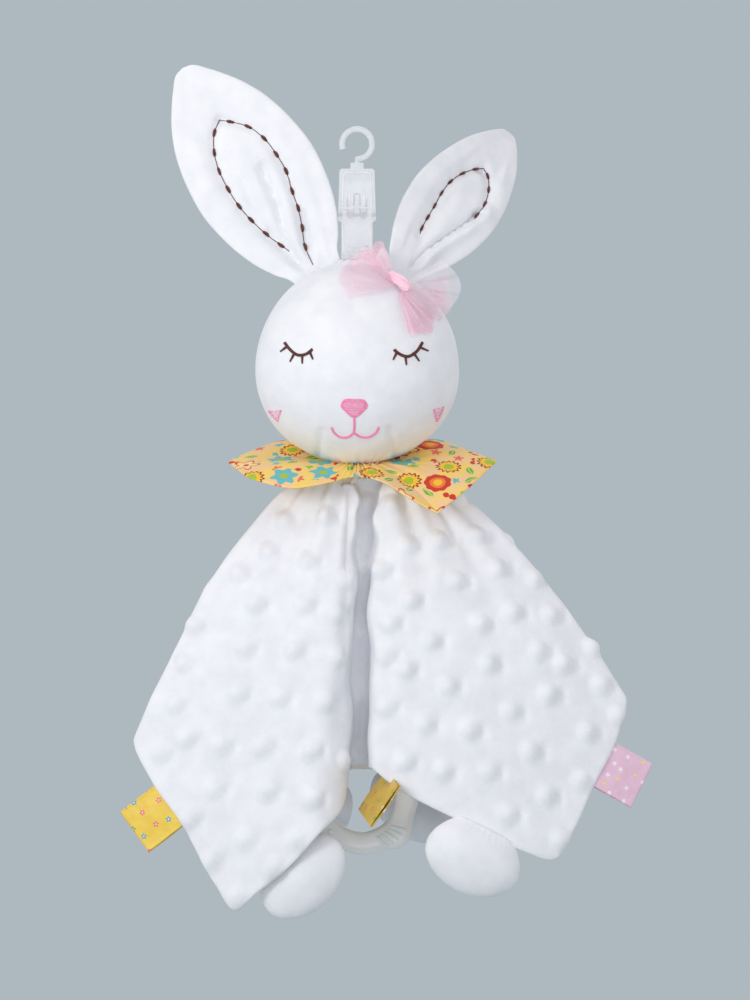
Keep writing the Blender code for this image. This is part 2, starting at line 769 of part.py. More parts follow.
def face(group, brown, pink):
    def spot(pair):
        return pair[0] * head_width / 2, head_centre.z + pair[1] * half_height(pair[1])

    def patch(name, outline, look, cuts):
        made = standing(plate(name, [outline], satin_height, look, group))
        return onto_head(finer(made, cuts))

    for side, facing in (("left", -1), ("right", 1)):
        patch(f"{side}_eye_stitch", eye_outline(spot(eye_centre_shares[side]), facing), brown, 1)
        centre = spot(cheek_centre_shares[side])
        outline = [(centre[0] + x * cheek_width, centre[1] + z * cheek_width)
                   for x, z in cheek_shares]
        patch(f"{side}_cheek_heart", outline, pink, 1)
    centre = spot((0, nose_centre_share))
    patch("nose_patch", [(centre[0] + x * nose_width, centre[1] + z * nose_height)
                         for x, z in nose_shares], pink, 1)
    under_nose = (centre[0], centre[1] - nose_height / 2 - seat_gap)
    patch("mouth_stitch", mouth_outline(under_nose), pink, 1)


# Bow
def bow_wing(name, knot, length, puff_height, group, look):
    """A fluted fan of tulle that leaves the knot at an angle and lies over the head."""
    angle, sweep = bow_angles[name]
    flutes, across, along = 3, 18, 5
    form = bmesh.new()
    grid = []
    for i in range(along + 1):
        t = i / along
        row = []
        for j in range(across + 1):
            u = 2 * j / across - 1
            spread = math.radians(angle + u * sweep / 2)
            knot_edge = 1 / math.hypot(2 * math.cos(spread) / bow_knot_width,
                                       2 * math.sin(spread) / bow_knot_height)
            reach = knot_edge + bow_root_gaps[name] + length * t
            reach *= 1 - bow_corner_share * u * u * t
            x = knot.x + reach * math.cos(spread)
            z = knot.z + reach * math.sin(spread)
            puff = puff_height * math.sin(math.pi * (0.8 * t + 0.1))
            wave = tulle_flute * t * math.cos(flutes * math.pi * u)
            lift = tulle_flute + tulle_wall + 2 * seat_gap
            y = -max(head_depth_at(x, z), bow_clear_depth) - lift - puff - wave
            row.append(form.verts.new((x, y, z)))
        grid.append(row)
    for low, high in zip(grid, grid[1:]):
        for j in range(across):
            form.faces.new((low[j], low[j + 1], high[j + 1], high[j]))
    bmesh.ops.recalc_face_normals(form, faces=form.faces)
    mesh = bpy.data.meshes.new(name)
    form.to_mesh(mesh)
    form.free()
    made = add(name, mesh, look, group)
    modifier(made, "SOLIDIFY", thickness=tulle_wall, offset=0, use_even_offset=False)
    return made


def bow(group, look):
    x, up = bow_knot_share
    knot, out = on_head(x * head_width / 2, head_centre.z + up * head_upper_height, bow_knot_lift)
    bow_wing("bow_left_wing", knot, bow_wing_length, bow_wing_puff, group, look)
    bow_wing("bow_right_wing", knot, bow_wing_length, bow_wing_puff, group, look)
    bow_wing("bow_tail", knot, bow_tail_length, bow_tail_puff, group, look)
    form = bmesh.new()
    bmesh.ops.create_uvsphere(form, u_segments=12, v_segments=8, radius=1)
    bmesh.ops.scale(form, vec=(bow_knot_width / 2, bow_knot_depth / 2, bow_knot_height / 2),
                    verts=form.verts)
    slope = Matrix.Rotation(-math.asin(out.z), 4, "X")
    bmesh.ops.transform(form, matrix=Matrix.Translation(knot) @ slope, verts=form.verts)
    mesh = bpy.data.meshes.new("bow_knot")
    form.to_mesh(mesh)
    form.free()
    mesh.shade_smooth()
    add("bow_knot", mesh, look, group)


# Collar
def smooth_ring(points, per_span):
    """More points on a closed smooth curve through the given ones."""
    count, found = len(points), []
    for i in range(count):
        a, b, c, d = (points[(i + k - 1) % count] for k in range(4))
        for j in range(per_span):
            t = j / per_span
            found.append(0.5 * (2 * b + (c - a) * t + (2 * a - 5 * b + 4 * c - d) * t * t
                                + (3 * b - a - 3 * c + d) * t * t * t))
    return found


def collar(group, look):
    rim = smooth_ring([Vector((x * collar_reach, y * collar_depth,
                               neck_z - collar_fall * fall))
                       for x, y, fall in collar_rim_shares], 2)
    count = len(rim)
    inner_radius = neck_radius + 2 * seat_gap
    rings = []
    for t in (0, 0.25, 0.5, 0.75, 1):
        ring = []
        for i, edge in enumerate(rim):
            angle = math.atan2(edge.y, edge.x)
            root = Vector((inner_radius * math.cos(angle), inner_radius * math.sin(angle), 0))
            root.z = head_under(root.x, root.y) - collar_wall / 2 - seat_gap
            point = root.lerp(edge, t)
            point.z -= collar_wall * 2 * math.sin(math.pi * t) * math.cos(4 * math.pi * i / count)
            ring.append(point)
        rings.append(ring)
    skin = add("collar", lofted("collar", rings), look, group)
    modifier(skin, "SOLIDIFY", thickness=collar_wall, offset=0, use_even_offset=True)


# Blanket
def hem_points():
    """The hem, from the front valley round by the left, the back and the right."""
    return [Vector((x * blanket_reach, y * blanket_depth, blanket_z - fall * blanket_fall))
            for x, y, fall in hem_shares]


def blanket_rings(along):
    """Rings from the neck to the hem: a short sleeve, then over the shoulder and down."""
    hem = hem_points()
    count = len(hem)
    lengths = [(hem[(i + 1) % count] - hem[i]).length for i in range(count)]
    whole, run = sum(lengths), 0.0
    rings = [[] for _ in range(along + 2)]
    for i, end in enumerate(hem):
        angle = -math.pi / 2 - 2 * math.pi * run / whole
        run += lengths[i]
        root = Vector((neck_radius * math.cos(angle), neck_radius * math.sin(angle), blanket_z))
        shoulder = Vector((end.x * shoulder_share, end.y * shoulder_depth_share, 0))
        if shoulder.length < 2 * neck_radius:
            shoulder = 2 * Vector((root.x, root.y, 0))
        shoulder.z = blanket_z + shoulder_rise
        rings[0].append(root + Vector((0, 0, neck_length)))
        for k in range(along + 1):
            t = (k / along) ** 1.25
            rings[k + 1].append(root * (1 - t) ** 2 + shoulder * (2 * t * (1 - t)) + end * t * t)
    return rings


def blanket(group, white, lining):
    outer = add("blanket_cover", lofted("blanket_cover", blanket_rings(hem_row_count)), white, group)
    shell(outer, minky_wall, even=False)
    inner = add("blanket_lining", lofted("blanket_lining", blanket_rings(hem_row_count)), lining, group)
    shell(inner, lining_wall, minky_wall + lining_gap, even=False)


def hem_frame(index, part=0.5):
    """Where a piece is sewn to the hem: along the hem, out of the cloth, and down."""
    rings = blanket_rings(hem_row_count)
    hem, above = rings[-1], rings[-2]
    a, b = hem[index], hem[(index + 1) % len(hem)]
    along = (a - b).normalized()
    place = a.lerp(b, part)
    down = (place - above[index].lerp(above[(index + 1) % len(hem)], part)).normalized()
    out = down.cross(along).normalized()
    down = along.cross(out).normalized()
    centre = place - out * (minky_wall + seat_gap)
    return Matrix.Translation(centre) @ Matrix((along, out, down)).transposed().to_4x4()


# Paws
def paw_rings(seat, inset, count, start_share, end_share):
    rings = []
    for share, size in paw_shares:
        along = paw_length * (start_share + (end_share - start_share) * share)
        wide = paw_width / 2 * size - inset
        rise = math.sin(math.pi * min(1.0, 0.10 + share * 0.84)) ** 0.6
        thick = max(paw_thickness / 2 * rise - inset, paw_wall)
        rings.append([seat @ Vector((wide * math.cos(t), thick * math.sin(t), along))
                      for t in (2 * math.pi * i / count for i in range(count))])
    return rings


def paw_seat(index, part, tucked):
    """On the hem, or tucked up behind the lining."""
    return hem_frame(index, part) @ Matrix.Translation((0, -paw_nest * tucked,
                                                        seat_gap - paw_tuck * tucked))


def paw(name, seat, group, white, fill):
    skin = add(f"{name}_paw_cover", lofted(f"{name}_paw_cover", paw_rings(seat, 0, 12, 0, 1),
                                           cap_end=True), white, group)
    shell(skin, paw_wall)
    inset = paw_wall + 3 * seat_gap
    filling = add(f"{name}_paw_filling",
                  lofted(f"{name}_paw_filling", paw_rings(seat, inset, 10, *filling_shares),
                         cap_start=True, cap_end=True), fill, group)
    for piece in (skin, filling):
        pivot(piece, seat.to_translation())


# Tags
def tag_seat(index, part, spin):
    """Just under the hem, turned about its own length."""
    turn = Matrix.Rotation(math.radians(spin), 4, "Z")
    return hem_frame(index, part) @ turn @ Matrix.Translation((0, 0, tag_gap))


def tag(name, seat, group, look):
    """A ribbon folded in two, open at the seam end."""
    half = tag_space / 2
    wall = ribbon_wall
    bend = [(-(half + wall), 0), (-half, 0), (-half, tag_length - half), (-half / 2, tag_length),
            (half / 2, tag_length), (half, tag_length - half), (half, 0), (half + wall, 0),
            (half + wall, tag_length - half), (half / 2 + wall, tag_length + wall),
            (-half / 2 - wall, tag_length + wall), (-half - wall, tag_length - half)]
    made = plate(name, [bend], ribbon_width, look, group)
    turn = Matrix(((0, 0, 1, 0), (1, 0, 0, 0), (0, 1, 0, 0), (0, 0, 0, 1)))
    made.data.transform(seat @ turn)
    return made


# Teether
def teether_outline():
    """A lobed ring: two ears above and two feet below."""
    count = 48
    outline = []
    for i in range(count):
        angle = 2 * math.pi * i / count
        lobes = 0.055 * math.cos(4 * (angle - math.pi / 4)) + 0.035 * math.cos(8 * angle)
        radius = teether_width / 2 * (0.91 + lobes)
        outline.append((radius * math.cos(angle), radius * math.sin(angle)))
    return outline


def teether(group, clear, ribbon):
    bore = [(teether_bore / 2 * math.cos(2 * math.pi * i / 32),
             teether_bore / 2 * math.sin(2 * math.pi * i / 32)) for i in range(32)]
    made = standing(plate("teether_ring", [teether_outline(), bore], teether_wall, clear, group,
                          rounding=teether_round), teether_centre)
    pivot(made, teether_centre)
    band_top = teether_centre.z + teether_width / 2
    low = teether_centre.z + teether_bore / 2 - loop_play - loop_wall
    high = band_top + loop_play + loop_wall
    half = teether_wall / 2 + loop_play + loop_wall
    inner_half = half - loop_wall

    def ring(half_y, bottom, top):
        cut = half_y * 0.4
        return [(-half_y, bottom + cut), (-half_y + cut, bottom), (half_y - cut, bottom),
                (half_y, bottom + cut), (half_y, top - cut), (half_y - cut, top),
                (-half_y + cut, top), (-half_y, top - cut)]

    made = sideways(plate("teether_loop", [ring(half, low, high),
                                           ring(inner_half, low + loop_wall, high - loop_wall)],
                          loop_width, ribbon, group),
                    Vector((teether_centre.x, teether_centre.y, 0)))
    pivot(made, Vector((teether_centre.x, teether_centre.y - half, high)))


# Build
def build():
    for old in list(bpy.data.objects):
        bpy.data.objects.remove(old, do_unlink=True)
    scene = bpy.context.scene
    group = bpy.data.collections.new(COLLECTION)
    tools = bpy.data.collections.new("cutters_and_guides")
    scene.collection.children.link(group)
    scene.collection.children.link(tools)

    plush = material("white_plush", (0.86, 0.87, 0.90))
    minky = material("white_minky", (0.84, 0.85, 0.88))
    lining = material("white_lining", (0.80, 0.81, 0.84))
    filling = material("polyester_filling", (0.93, 0.93, 0.91), 1.0)
    plastic = material("clear_plastic", (0.86, 0.88, 0.90), 0.15, 0.0, 0.4)
    steel = material("steel", (0.60, 0.61, 0.62), 0.3, 1.0)
    brown = material("brown_thread", (0.10, 0.035, 0.025), 0.7)
    pink = material("pink_thread", (0.86, 0.22, 0.40), 0.6)
    tulle = material("pink_tulle", (0.86, 0.50, 0.62), 0.8, 0.0, 0.8)
    print_cloth = material("floral_cotton", (0.85, 0.60, 0.16), 0.85)
    yellow = material("yellow_ribbon", (0.84, 0.58, 0.07), 0.5)
    rose = material("pink_ribbon", (0.83, 0.45, 0.52), 0.5)
    mustard = material("mustard_ribbon", (0.60, 0.42, 0.06), 0.5)
    milky = material("milky_silicone", (0.62, 0.61, 0.58), 0.3, 0.0, 0.7)

    clip_front(group, tools, plastic)
    clip_back(group, tools, plastic)
    clip_pin(group, steel)
    clip_spring(group, steel)
    head(group, plush, filling)
    crown_tuck(group, plush)

    left = Ear(left_ear_length, left_ear_width, left_ear_width_shares,
               ear_root(left_ear_place, left_ear_gap), **left_ear_turns)
    right = Ear(right_ear_length, right_ear_width, right_ear_width_shares,
                ear_root(right_ear_place, right_ear_gap), **right_ear_turns)
    ear("left", left, group, plush, filling, brown)
    ear("right", right, group, plush, filling, brown)

    face(group, brown, pink)
    bow(group, tulle)
    collar(group, print_cloth)
    blanket(group, minky, lining)
    for name, seat in paw_hem_shares.items():
        paw(name, paw_seat(*seat), group, plush, filling)
    for name, look in (("left_tag", yellow), ("right_tag", rose), ("centre_tag", mustard)):
        tag(name, tag_seat(*tag_hem_shares[name]), group, look)
    teether(group, milky, lining)


build()
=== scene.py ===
import json
import math

import bmesh
import bpy
import numpy as np
from mathutils import Matrix, Vector, noise
from mathutils.bvhtree import BVHTree


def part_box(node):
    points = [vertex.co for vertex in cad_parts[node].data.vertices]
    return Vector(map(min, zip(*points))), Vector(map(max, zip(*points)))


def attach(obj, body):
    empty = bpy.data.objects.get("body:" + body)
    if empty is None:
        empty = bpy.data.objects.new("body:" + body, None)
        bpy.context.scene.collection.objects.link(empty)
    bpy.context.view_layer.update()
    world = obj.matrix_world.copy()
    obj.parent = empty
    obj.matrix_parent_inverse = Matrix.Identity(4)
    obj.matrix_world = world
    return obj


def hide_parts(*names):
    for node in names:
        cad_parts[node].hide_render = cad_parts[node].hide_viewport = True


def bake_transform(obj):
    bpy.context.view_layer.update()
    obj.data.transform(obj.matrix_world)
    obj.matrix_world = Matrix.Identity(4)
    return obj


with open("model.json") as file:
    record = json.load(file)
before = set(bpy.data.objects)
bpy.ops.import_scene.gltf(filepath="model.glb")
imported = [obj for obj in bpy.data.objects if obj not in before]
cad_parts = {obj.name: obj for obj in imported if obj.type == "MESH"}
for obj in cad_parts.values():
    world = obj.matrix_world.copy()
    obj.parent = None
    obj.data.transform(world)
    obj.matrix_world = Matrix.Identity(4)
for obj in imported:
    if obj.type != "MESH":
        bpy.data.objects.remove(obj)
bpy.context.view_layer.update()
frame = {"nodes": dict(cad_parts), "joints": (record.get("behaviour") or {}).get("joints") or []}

MM = 0.001
NODES = frame["nodes"]
JOINTS = {joint["name"]: joint for joint in frame["joints"]}

# Sizes shared with the solids, in metres
pin_place = Vector((0, 1.3, -41.5)) * MM
head_half = Vector((51, 46, 0)) * MM
head_upper, head_lower = 55 * MM, 46.5 * MM
head_centre = Vector((0, 0, -119.7)) * MM
neck_radius = 13 * MM
neck_z = head_centre.z - head_lower * math.sqrt(1 - (neck_radius / head_half.x) ** 2)
ear_thickness, ear_cup = 11 * MM, 5 * MM
collar_reach, collar_depth, collar_fall = 66 * MM, 42 * MM, 25 * MM
blanket_reach, blanket_depth, blanket_fall = 134 * MM, 42 * MM, 214 * MM
blanket_z = neck_z - 4.3 * MM
minky_wall = 2.2 * MM
tag_width, tag_length = 25 * MM, 24.6 * MM
paw_half_width, paw_half_thickness, paw_length = 25 * MM, 9.5 * MM, 32 * MM
ring_reach, ring_bore, ring_half_thickness = 32 * MM, 16.5 * MM, 4 * MM
teether_centre = Vector((0.019 * blanket_reach, 8.5 * MM, blanket_z - 0.687 * blanket_fall - 17.5 * MM))

# Where the blanket's shoulder is, as a share of the hem's reach, and how its rows spread out
shoulder_share, row_spread = (0.48, 0.75, 0), 1.15

# Sizes of the cloth's relief and of its thin walls, in metres
dot_radius, dot_height, dot_spacing = 6.6 * MM, 2.9 * MM, 17 * MM
crease_depth, crease_half_width, crease_half_length = 1.4 * MM, 2.1 * MM, 3.6 * MM
crease_place = (7.6 * MM, 0, -0.6 * MM)
collar_half_wall = 0.5 * MM
lining_wall = 1.2 * MM


# Materials
class Look:
    """A material, with short calls for its nodes."""

    def __init__(self, name, **settings):
        self.material = bpy.data.materials.new(name)
        self.material.use_nodes = True
        self.tree = self.material.node_tree
        self.shader = self.tree.nodes["Principled BSDF"]
        for key, value in settings.items():
            self.shader.inputs[key.replace("_", " ")].default_value = value

    def node(self, kind, inputs, **settings):
        made = self.tree.nodes.new("ShaderNode" + kind)
        for key, value in settings.items():
            setattr(made, key, value)
        for key, value in inputs.items():
            self.put(made.inputs[key], value)
        return made

    def put(self, socket, value):
        if isinstance(value, bpy.types.NodeSocket):
            self.tree.links.new(value, socket)
        else:
            socket.default_value = value

    def math(self, operation, *values):
        return self.node("Math", dict(enumerate(values)), operation=operation).outputs[0]

    def times(self, a, b):
        return self.math("MULTIPLY", a, b)

    def plus(self, a, b):
        return self.math("ADD", a, b)

    def minus(self, a, b):
        return self.math("SUBTRACT", a, b)

    def less(self, a, b):
        return self.math("LESS_THAN", a, b)

    def wave(self, value, pitch):
        return self.math("SINE", self.times(value, math.tau / pitch))

    def vector(self, operation, *values):
        made = self.node("VectorMath", dict(enumerate(values)), operation=operation)
        return made.outputs["Vector"]

    def scaled(self, coordinates, scale):
        made = self.node("VectorMath", {0: coordinates, "Scale": scale}, operation="SCALE")
        return made.outputs["Vector"]

    def parts(self, vector):
        return self.node("SeparateXYZ", {0: vector}).outputs

    def over(self, under, colour, mask):
        """Colour laid over what is under it where mask is 1."""
        return self.node("Mix", {0: mask, 6: under, 7: colour}, data_type="RGBA").outputs[2]

    def noise(self, coordinates, scale, detail, output=0):
        inputs = {"Vector": coordinates, "Scale": scale, "Detail": detail}
        return self.node("TexNoise", inputs).outputs[output]

    def ramp(self, factor, stops):
        made = self.node("ValToRGB", {0: factor})
        for element, (place, colour) in zip(made.color_ramp.elements, stops):
            element.position = place
            element.color = colour
        return made.outputs[0]

    def place(self):
        return self.node("TexCoord", {}).outputs["Object"]

    def cloth(self):
        """The place on the flat cloth, in millimetres, that the mesh carries."""
        return self.node("Attribute", {}, attribute_name="cloth").outputs["Vector"]

    def bump(self, heights):
        """Adds several heights: (height, strength, distance in millimetres)."""
        target = self.shader.inputs["Normal"]
        for height, strength, distance in reversed(heights):
            made = self.node("Bump", {"Height": height, "Strength": strength, "Distance": distance * MM})
            self.put(target, made.outputs[0])
            target = made.inputs["Normal"]

    def colour(self, socket):
        self.put(self.shader.inputs["Base Color"], socket)


def rgb(red, green, blue):
    """A colour written in 0-255 as a linear one."""
    def linear(value):
        value /= 255
        return value / 12.92 if value <= 0.04045 else ((value + 0.055) / 1.055) ** 2.4
    return (linear(red), linear(green), linear(blue), 1)


def mottled(look, light, dark, scale, detail, grains, low=0.3, under=()):
    """Two close tones mixed by noise, and grains: (noise scale, its detail, strength, distance)."""
    place = look.place()
    look.colour(look.ramp(look.noise(place, scale, detail), [(low, rgb(*dark)), (1 - low, rgb(*light))]))
    look.bump([*under, *((look.noise(place, *grain[:2]), *grain[2:]) for grain in grains)])
    return look.material


def plush_look(name, light, shade, pile, nap):
    """Short pile: faint mottling, a sheen along edges, fine fibre and a slower nap."""
    look = Look(name, Roughness=0.95, Sheen_Weight=0.25, Sheen_Roughness=0.45)
    return mottled(look, light, shade, 90, 5, [(260, 3, 0.35, nap), (1500, 2, 0.5, pile)], 0.32)


def thread_look(name, light, dark):
    look = Look(name, Roughness=0.55, Sheen_Weight=0.3, Specular_IOR_Level=0.35)
    return mottled(look, light, dark, 900, 3, [(5000, 2, 0.4, 0.1)])


def tulle_look(name, light, deep, alpha):
    """Sheer net: thin, matt, and a little uneven."""
    look = Look(name, Roughness=0.9, Alpha=alpha, Sheen_Weight=0.3)
    net = look.node("TexVoronoi", {"Vector": look.place(), "Scale": 1400.0}, feature="DISTANCE_TO_EDGE")
    return mottled(look, light, deep, 110, 3, [(400, 3, 0.25, 0.2)],
                   under=[(net.outputs["Distance"], 0.25, 0.1)])


class Motifs:
    """One scattered motif to a cell: where it is, how far from its middle, and its chances."""

    def __init__(self, look, cloth, pitch, shift):
        self.look = look
        cells = look.scaled(look.vector("ADD", cloth, (shift, 1.7 * shift, 0)), 1 / pitch)
        voronoi = look.node("TexVoronoi", {"Vector": cells, "Scale": 1.0, "Randomness": 0.5},
                            voronoi_dimensions="2D").outputs
        self.x, self.y, _ = look.parts(look.vector("SUBTRACT", cells, voronoi["Position"]))
        squares = look.times(self.x, self.x), look.times(self.y, self.y)
        self.radius = look.math("SQRT", look.plus(*squares))
        self.chance, share, _ = look.node("SeparateColor", {0: voronoi["Color"]}).outputs
        self.turn = look.times(share, math.tau)
        self.spin = look.plus(look.math("ARCTAN2", self.y, self.x), self.turn)

    def petals(self, count):
        return self.look.math("COSINE", self.look.times(self.spin, count))

    def flower(self, count, middle, swing):
        """Distance from a petalled outline; below 0 inside it."""
        look = self.look
        return look.minus(self.radius, look.plus(look.times(self.petals(count), swing), middle))

    def leaf(self, length, width):
        """Distance from a pointed leaf, and the way across it."""
        look = self.look
        cosine, sine = look.math("COSINE", self.turn), look.math("SINE", self.turn)
        along = look.plus(look.times(self.x, cosine), look.times(self.y, sine))
        across = look.math("ABSOLUTE", look.minus(look.times(self.y, cosine), look.times(self.x, sine)))
        share = look.math("DIVIDE", along, length)
        taper = look.minus(1.0, look.times(share, share))
        return look.minus(across, look.times(taper, width)), across

    def paint(self, under, ink, chances, distance, edge=0):
        """Ink inside an edge, on the cells whose chance lies between two values."""
        look = self.look
        wanted = look.times(look.math("GREATER_THAN", self.chance, chances[0]),
                            look.less(self.chance, chances[1]))
        return look.over(under, ink, look.times(wanted, look.less(distance, edge)))


def floral_look():
    """Printed cotton: big and small flowers and leaves on a yellow and peach ground."""
    red, orange, honey = rgb(212, 48, 28), rgb(245, 130, 30), rgb(252, 196, 50)
    sky, lime, leaf_green = rgb(104, 188, 196), rgb(168, 196, 40), rgb(110, 178, 60)
    brick = rgb(150, 44, 22)
    look = Look("floral_cotton_print", Roughness=0.8, Sheen_Weight=0.1)
    cloth = look.cloth()
    drawn = look.vector("ADD", cloth, look.scaled(look.noise(cloth, 0.25, 1, output="Color"), 1.2))
    ground = look.ramp(look.noise(cloth, 0.07, 2), [(0.40, rgb(250, 212, 104)), (0.60, rgb(247, 204, 148))])
    small = Motifs(look, drawn, 10.0, 3.1)
    leaf, across = small.leaf(0.40, 0.17)
    vein = look.math("MAXIMUM", look.plus(leaf, 0.02), look.minus(across, 0.03))
    berries = look.minus(small.radius, look.times(look.math("ABSOLUTE", small.petals(1)), 0.34))
    colour = ground
    for ink, chances, distance in (
            (leaf_green, (0.0, 0.38), leaf), (rgb(200, 222, 110), (0.0, 0.38), vein),
            (red, (0.38, 0.58), berries), (sky, (0.58, 0.72), small.flower(5, 0.20, 0.06)),
            (rgb(236, 110, 80), (0.72, 0.90), small.flower(5, 0.22, 0.08))):
        colour = small.paint(colour, ink, chances, distance)
    big = Motifs(look, drawn, 20.0, 41.7)
    colour = look.over(colour, ground, look.less(big.radius, 0.38))
    for chances, layers in (
            ((0.0, 0.40), ((9, 0.33, 0.015, red), (3, 0.20, 0.008, orange), (3, 0.11, 0.004, honey))),
            ((0.40, 0.58), ((6, 0.30, 0.06, sky), (3, 0.11, 0.005, lime))),
            ((0.58, 0.80), ((5, 0.29, 0.09, red), (5, 0.235, 0.075, rgb(252, 220, 150)),
                            (3, 0.075, 0.0, red))),
            ((0.80, 1.01), ((14, 0.30, 0.035, brick), (14, 0.245, 0.03, honey), (3, 0.13, 0.006, lime)))):
        for *outline, ink in layers:
            colour = big.paint(colour, ink, chances, big.flower(*outline))
    look.colour(colour)
    thread_pitch = 0.8
    x, y, _ = look.parts(cloth)
    weave = look.times(look.wave(x, thread_pitch), look.wave(y, thread_pitch))
    look.bump([(weave, 0.25, 0.12), (look.noise(look.place(), 120, 3), 0.4, 0.8)])
    return look.material


def ribbon_look(name, ground, deep, inks, pitch):
    """Satin ribbon with a scatter of small flowers, and fine ribs."""
    look = Look(name, Roughness=0.38, Sheen_Weight=0.2, Specular_IOR_Level=0.55)
    cloth = look.cloth()
    colour = look.ramp(look.noise(cloth, 0.12, 3), [(0.3, rgb(*deep)), (0.7, rgb(*ground))])
    scatter = Motifs(look, cloth, pitch, 5.3)
    for i, ink in enumerate(inks):
        chances = i / len(inks), (i + 1) / len(inks) + 0.01 * (i == len(inks) - 1)
        colour = scatter.paint(colour, rgb(*ink), chances, scatter.flower(5, 0.14, 0.055))
        colour = scatter.paint(colour, rgb(255, 246, 214), chances, scatter.radius, 0.045)
    look.colour(colour)
    ribs = look.wave(look.parts(cloth)[1], 0.7)
    look.bump([(ribs, 0.3, 0.08), (look.noise(cloth, 0.25, 2), 0.35, 0.6)])
    return look.material


clear_look = Look("clear_plastic_clip", Roughness=0.16, IOR=1.46, Alpha=0.4, Coat_Weight=0.6,
                  Coat_Roughness=0.08)
steel_look = Look("bright_steel_wire", Metallic=0.6, Roughness=0.3)
silicone_look = Look("milky_silicone_teether", Roughness=0.32, Subsurface_Weight=0.2,
                     Subsurface_Scale=0.003, Coat_Weight=0.25, Coat_Roughness=0.15, Specular_IOR_Level=0.5)

# Each look: its material and its slot
LOOKS = {
    "plush": (plush_look("white_plush_pile", (240, 241, 244), (232, 233, 238), 0.12, 0.5), "white_plush"),
    "minky": (plush_look("white_minky_pile", (240, 241, 245), (231, 232, 237), 0.16, 0.7), "white_minky"),
    "lining": (plush_look("white_lining_pile", (247, 240, 231), (240, 231, 219), 0.14, 0.5),
               "white_lining"),
    "brown": (thread_look("brown_satin_thread", (112, 50, 38), (66, 26, 22)), "brown_thread"),
    "pink": (thread_look("pink_satin_thread", (255, 176, 208), (250, 152, 192)), "pink_thread"),
    "rose": (thread_look("deep_pink_thread", (255, 154, 196), (248, 132, 180)), "pink_thread"),
    "blush": (thread_look("pale_pink_thread", (255, 222, 236), (252, 208, 226)), "pink_thread"),
    "floral": (floral_look(), "floral_cotton"),
    "yellow": (ribbon_look("yellow_satin_ribbon", (242, 208, 76), (232, 192, 54),
                           [(232, 96, 130), (70, 160, 190), (140, 170, 50)], 8.5), "yellow_ribbon"),
    "rose_ribbon": (ribbon_look("pink_satin_ribbon", (240, 202, 222), (232, 190, 212),
                                [(250, 240, 246), (240, 214, 120)], 6.5), "pink_ribbon"),
    "mustard": (ribbon_look("mustard_satin_ribbon", (222, 184, 60), (204, 164, 40),
                            [(206, 92, 100), (120, 150, 60), (240, 226, 190)], 7.5), "mustard_ribbon"),
    "tulle": (tulle_look("pink_tulle_net", (255, 222, 234), (253, 204, 221), 0.28), "pink_tulle"),
    "dense_tulle": (tulle_look("doubled_pink_tulle_net", (255, 208, 225), (250, 190, 211), 0.48),
                    "pink_tulle"),
    "pale_tulle": (tulle_look("white_tulle_net", (250, 244, 248), (244, 234, 240), 0.4), "pink_tulle"),
    "knot": (tulle_look("pink_tulle_gathers", (255, 214, 229), (252, 194, 213), 1.0), "pink_tulle"),
    "clear": (mottled(clear_look, (252, 253, 255), (244, 246, 250), 180, 3,
                      [(110, 2, 0.05, 0.2), (1200, 2, 0.05, 0.03)]), "clear_plastic"),
    "steel": (mottled(steel_look, (112, 102, 94), (50, 42, 36), 700, 4, [(3000, 2, 0.2, 0.05)]), "steel"),
    "silicone": (mottled(silicone_look, (250, 249, 246), (243, 242, 238), 60, 3,
                         [(220, 2, 0.15, 0.4), (1500, 2, 0.12, 0.05)]), "milky_silicone"),
}


# Meshes
def in_scene(name, data):
    made = bpy.data.objects.new(name, data)
    bpy.context.scene.collection.objects.link(made)
    return made


def add(name, points, faces, look, body="lovey", replaced=(), cloth=None, solid=True):
    """A new piece, riding on its body."""
    points = np.asarray(points, float).reshape(-1, 3)
    material, slot = LOOKS[look]
    mesh = bpy.data.meshes.new(name)
    mesh.from_pydata(points.tolist(), [], faces)
    if solid:
        form = bmesh.new()
        form.from_mesh(mesh)
        bmesh.ops.recalc_face_normals(form, faces=form.faces)
        form.to_mesh(mesh)
        form.free()
    mesh.materials.append(material)
    mesh.shade_smooth()
    if cloth is not None:
        stored = mesh.attributes.new("cloth", "FLOAT_VECTOR", "POINT")
        flat = np.zeros((len(points), 3), np.float32)
        flat[:, :2] = cloth.reshape(-1, 2)
        stored.data.foreach_set("vector", flat.ravel())
    made = in_scene(name, mesh)
    if body:
        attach(made, body)
    if replaced:
        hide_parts(*replaced)
    return made


def turns(count):
    """Angles once round, in equal steps."""
    return np.arange(count) * math.tau / count


def points_of(x, y, z):
    """Points from rows or grids of coordinates; a single one stands for all of them."""
    return np.stack(np.broadcast_arrays(x, y, z), -1)


def squarer(value, power):
    """A sine or cosine bent towards a square's corners by a power below 1."""
    return np.sign(value) * np.abs(value) ** power


def unit(vectors):
    """The same ways, one long."""
    return vectors / np.maximum(np.linalg.norm(vectors, axis=-1, keepdims=True), 1e-12)


def run_along(line):
    """How far each point of a line is from its start."""
    return np.concatenate([[0], np.linalg.norm(np.diff(line, axis=0), axis=1).cumsum()])


def grid_faces(rows, columns, around=True, over=False):
    """Quads over rows of points; around closes each row, over joins the last row to the first."""
    faces = []
    for i in range(rows if over else rows - 1):
        low, high = i * columns, (i + 1) % rows * columns
        for j in range(columns if around else columns - 1):
            k = (j + 1) % columns
            faces.append((low + j, low + k, high + k, high + j))
    return faces


def wrapped(grid):
    """Points and faces of a closed skin whose last ring joins the first."""
    return grid.reshape(-1, 3), grid_faces(*grid.shape[:2], over=True)


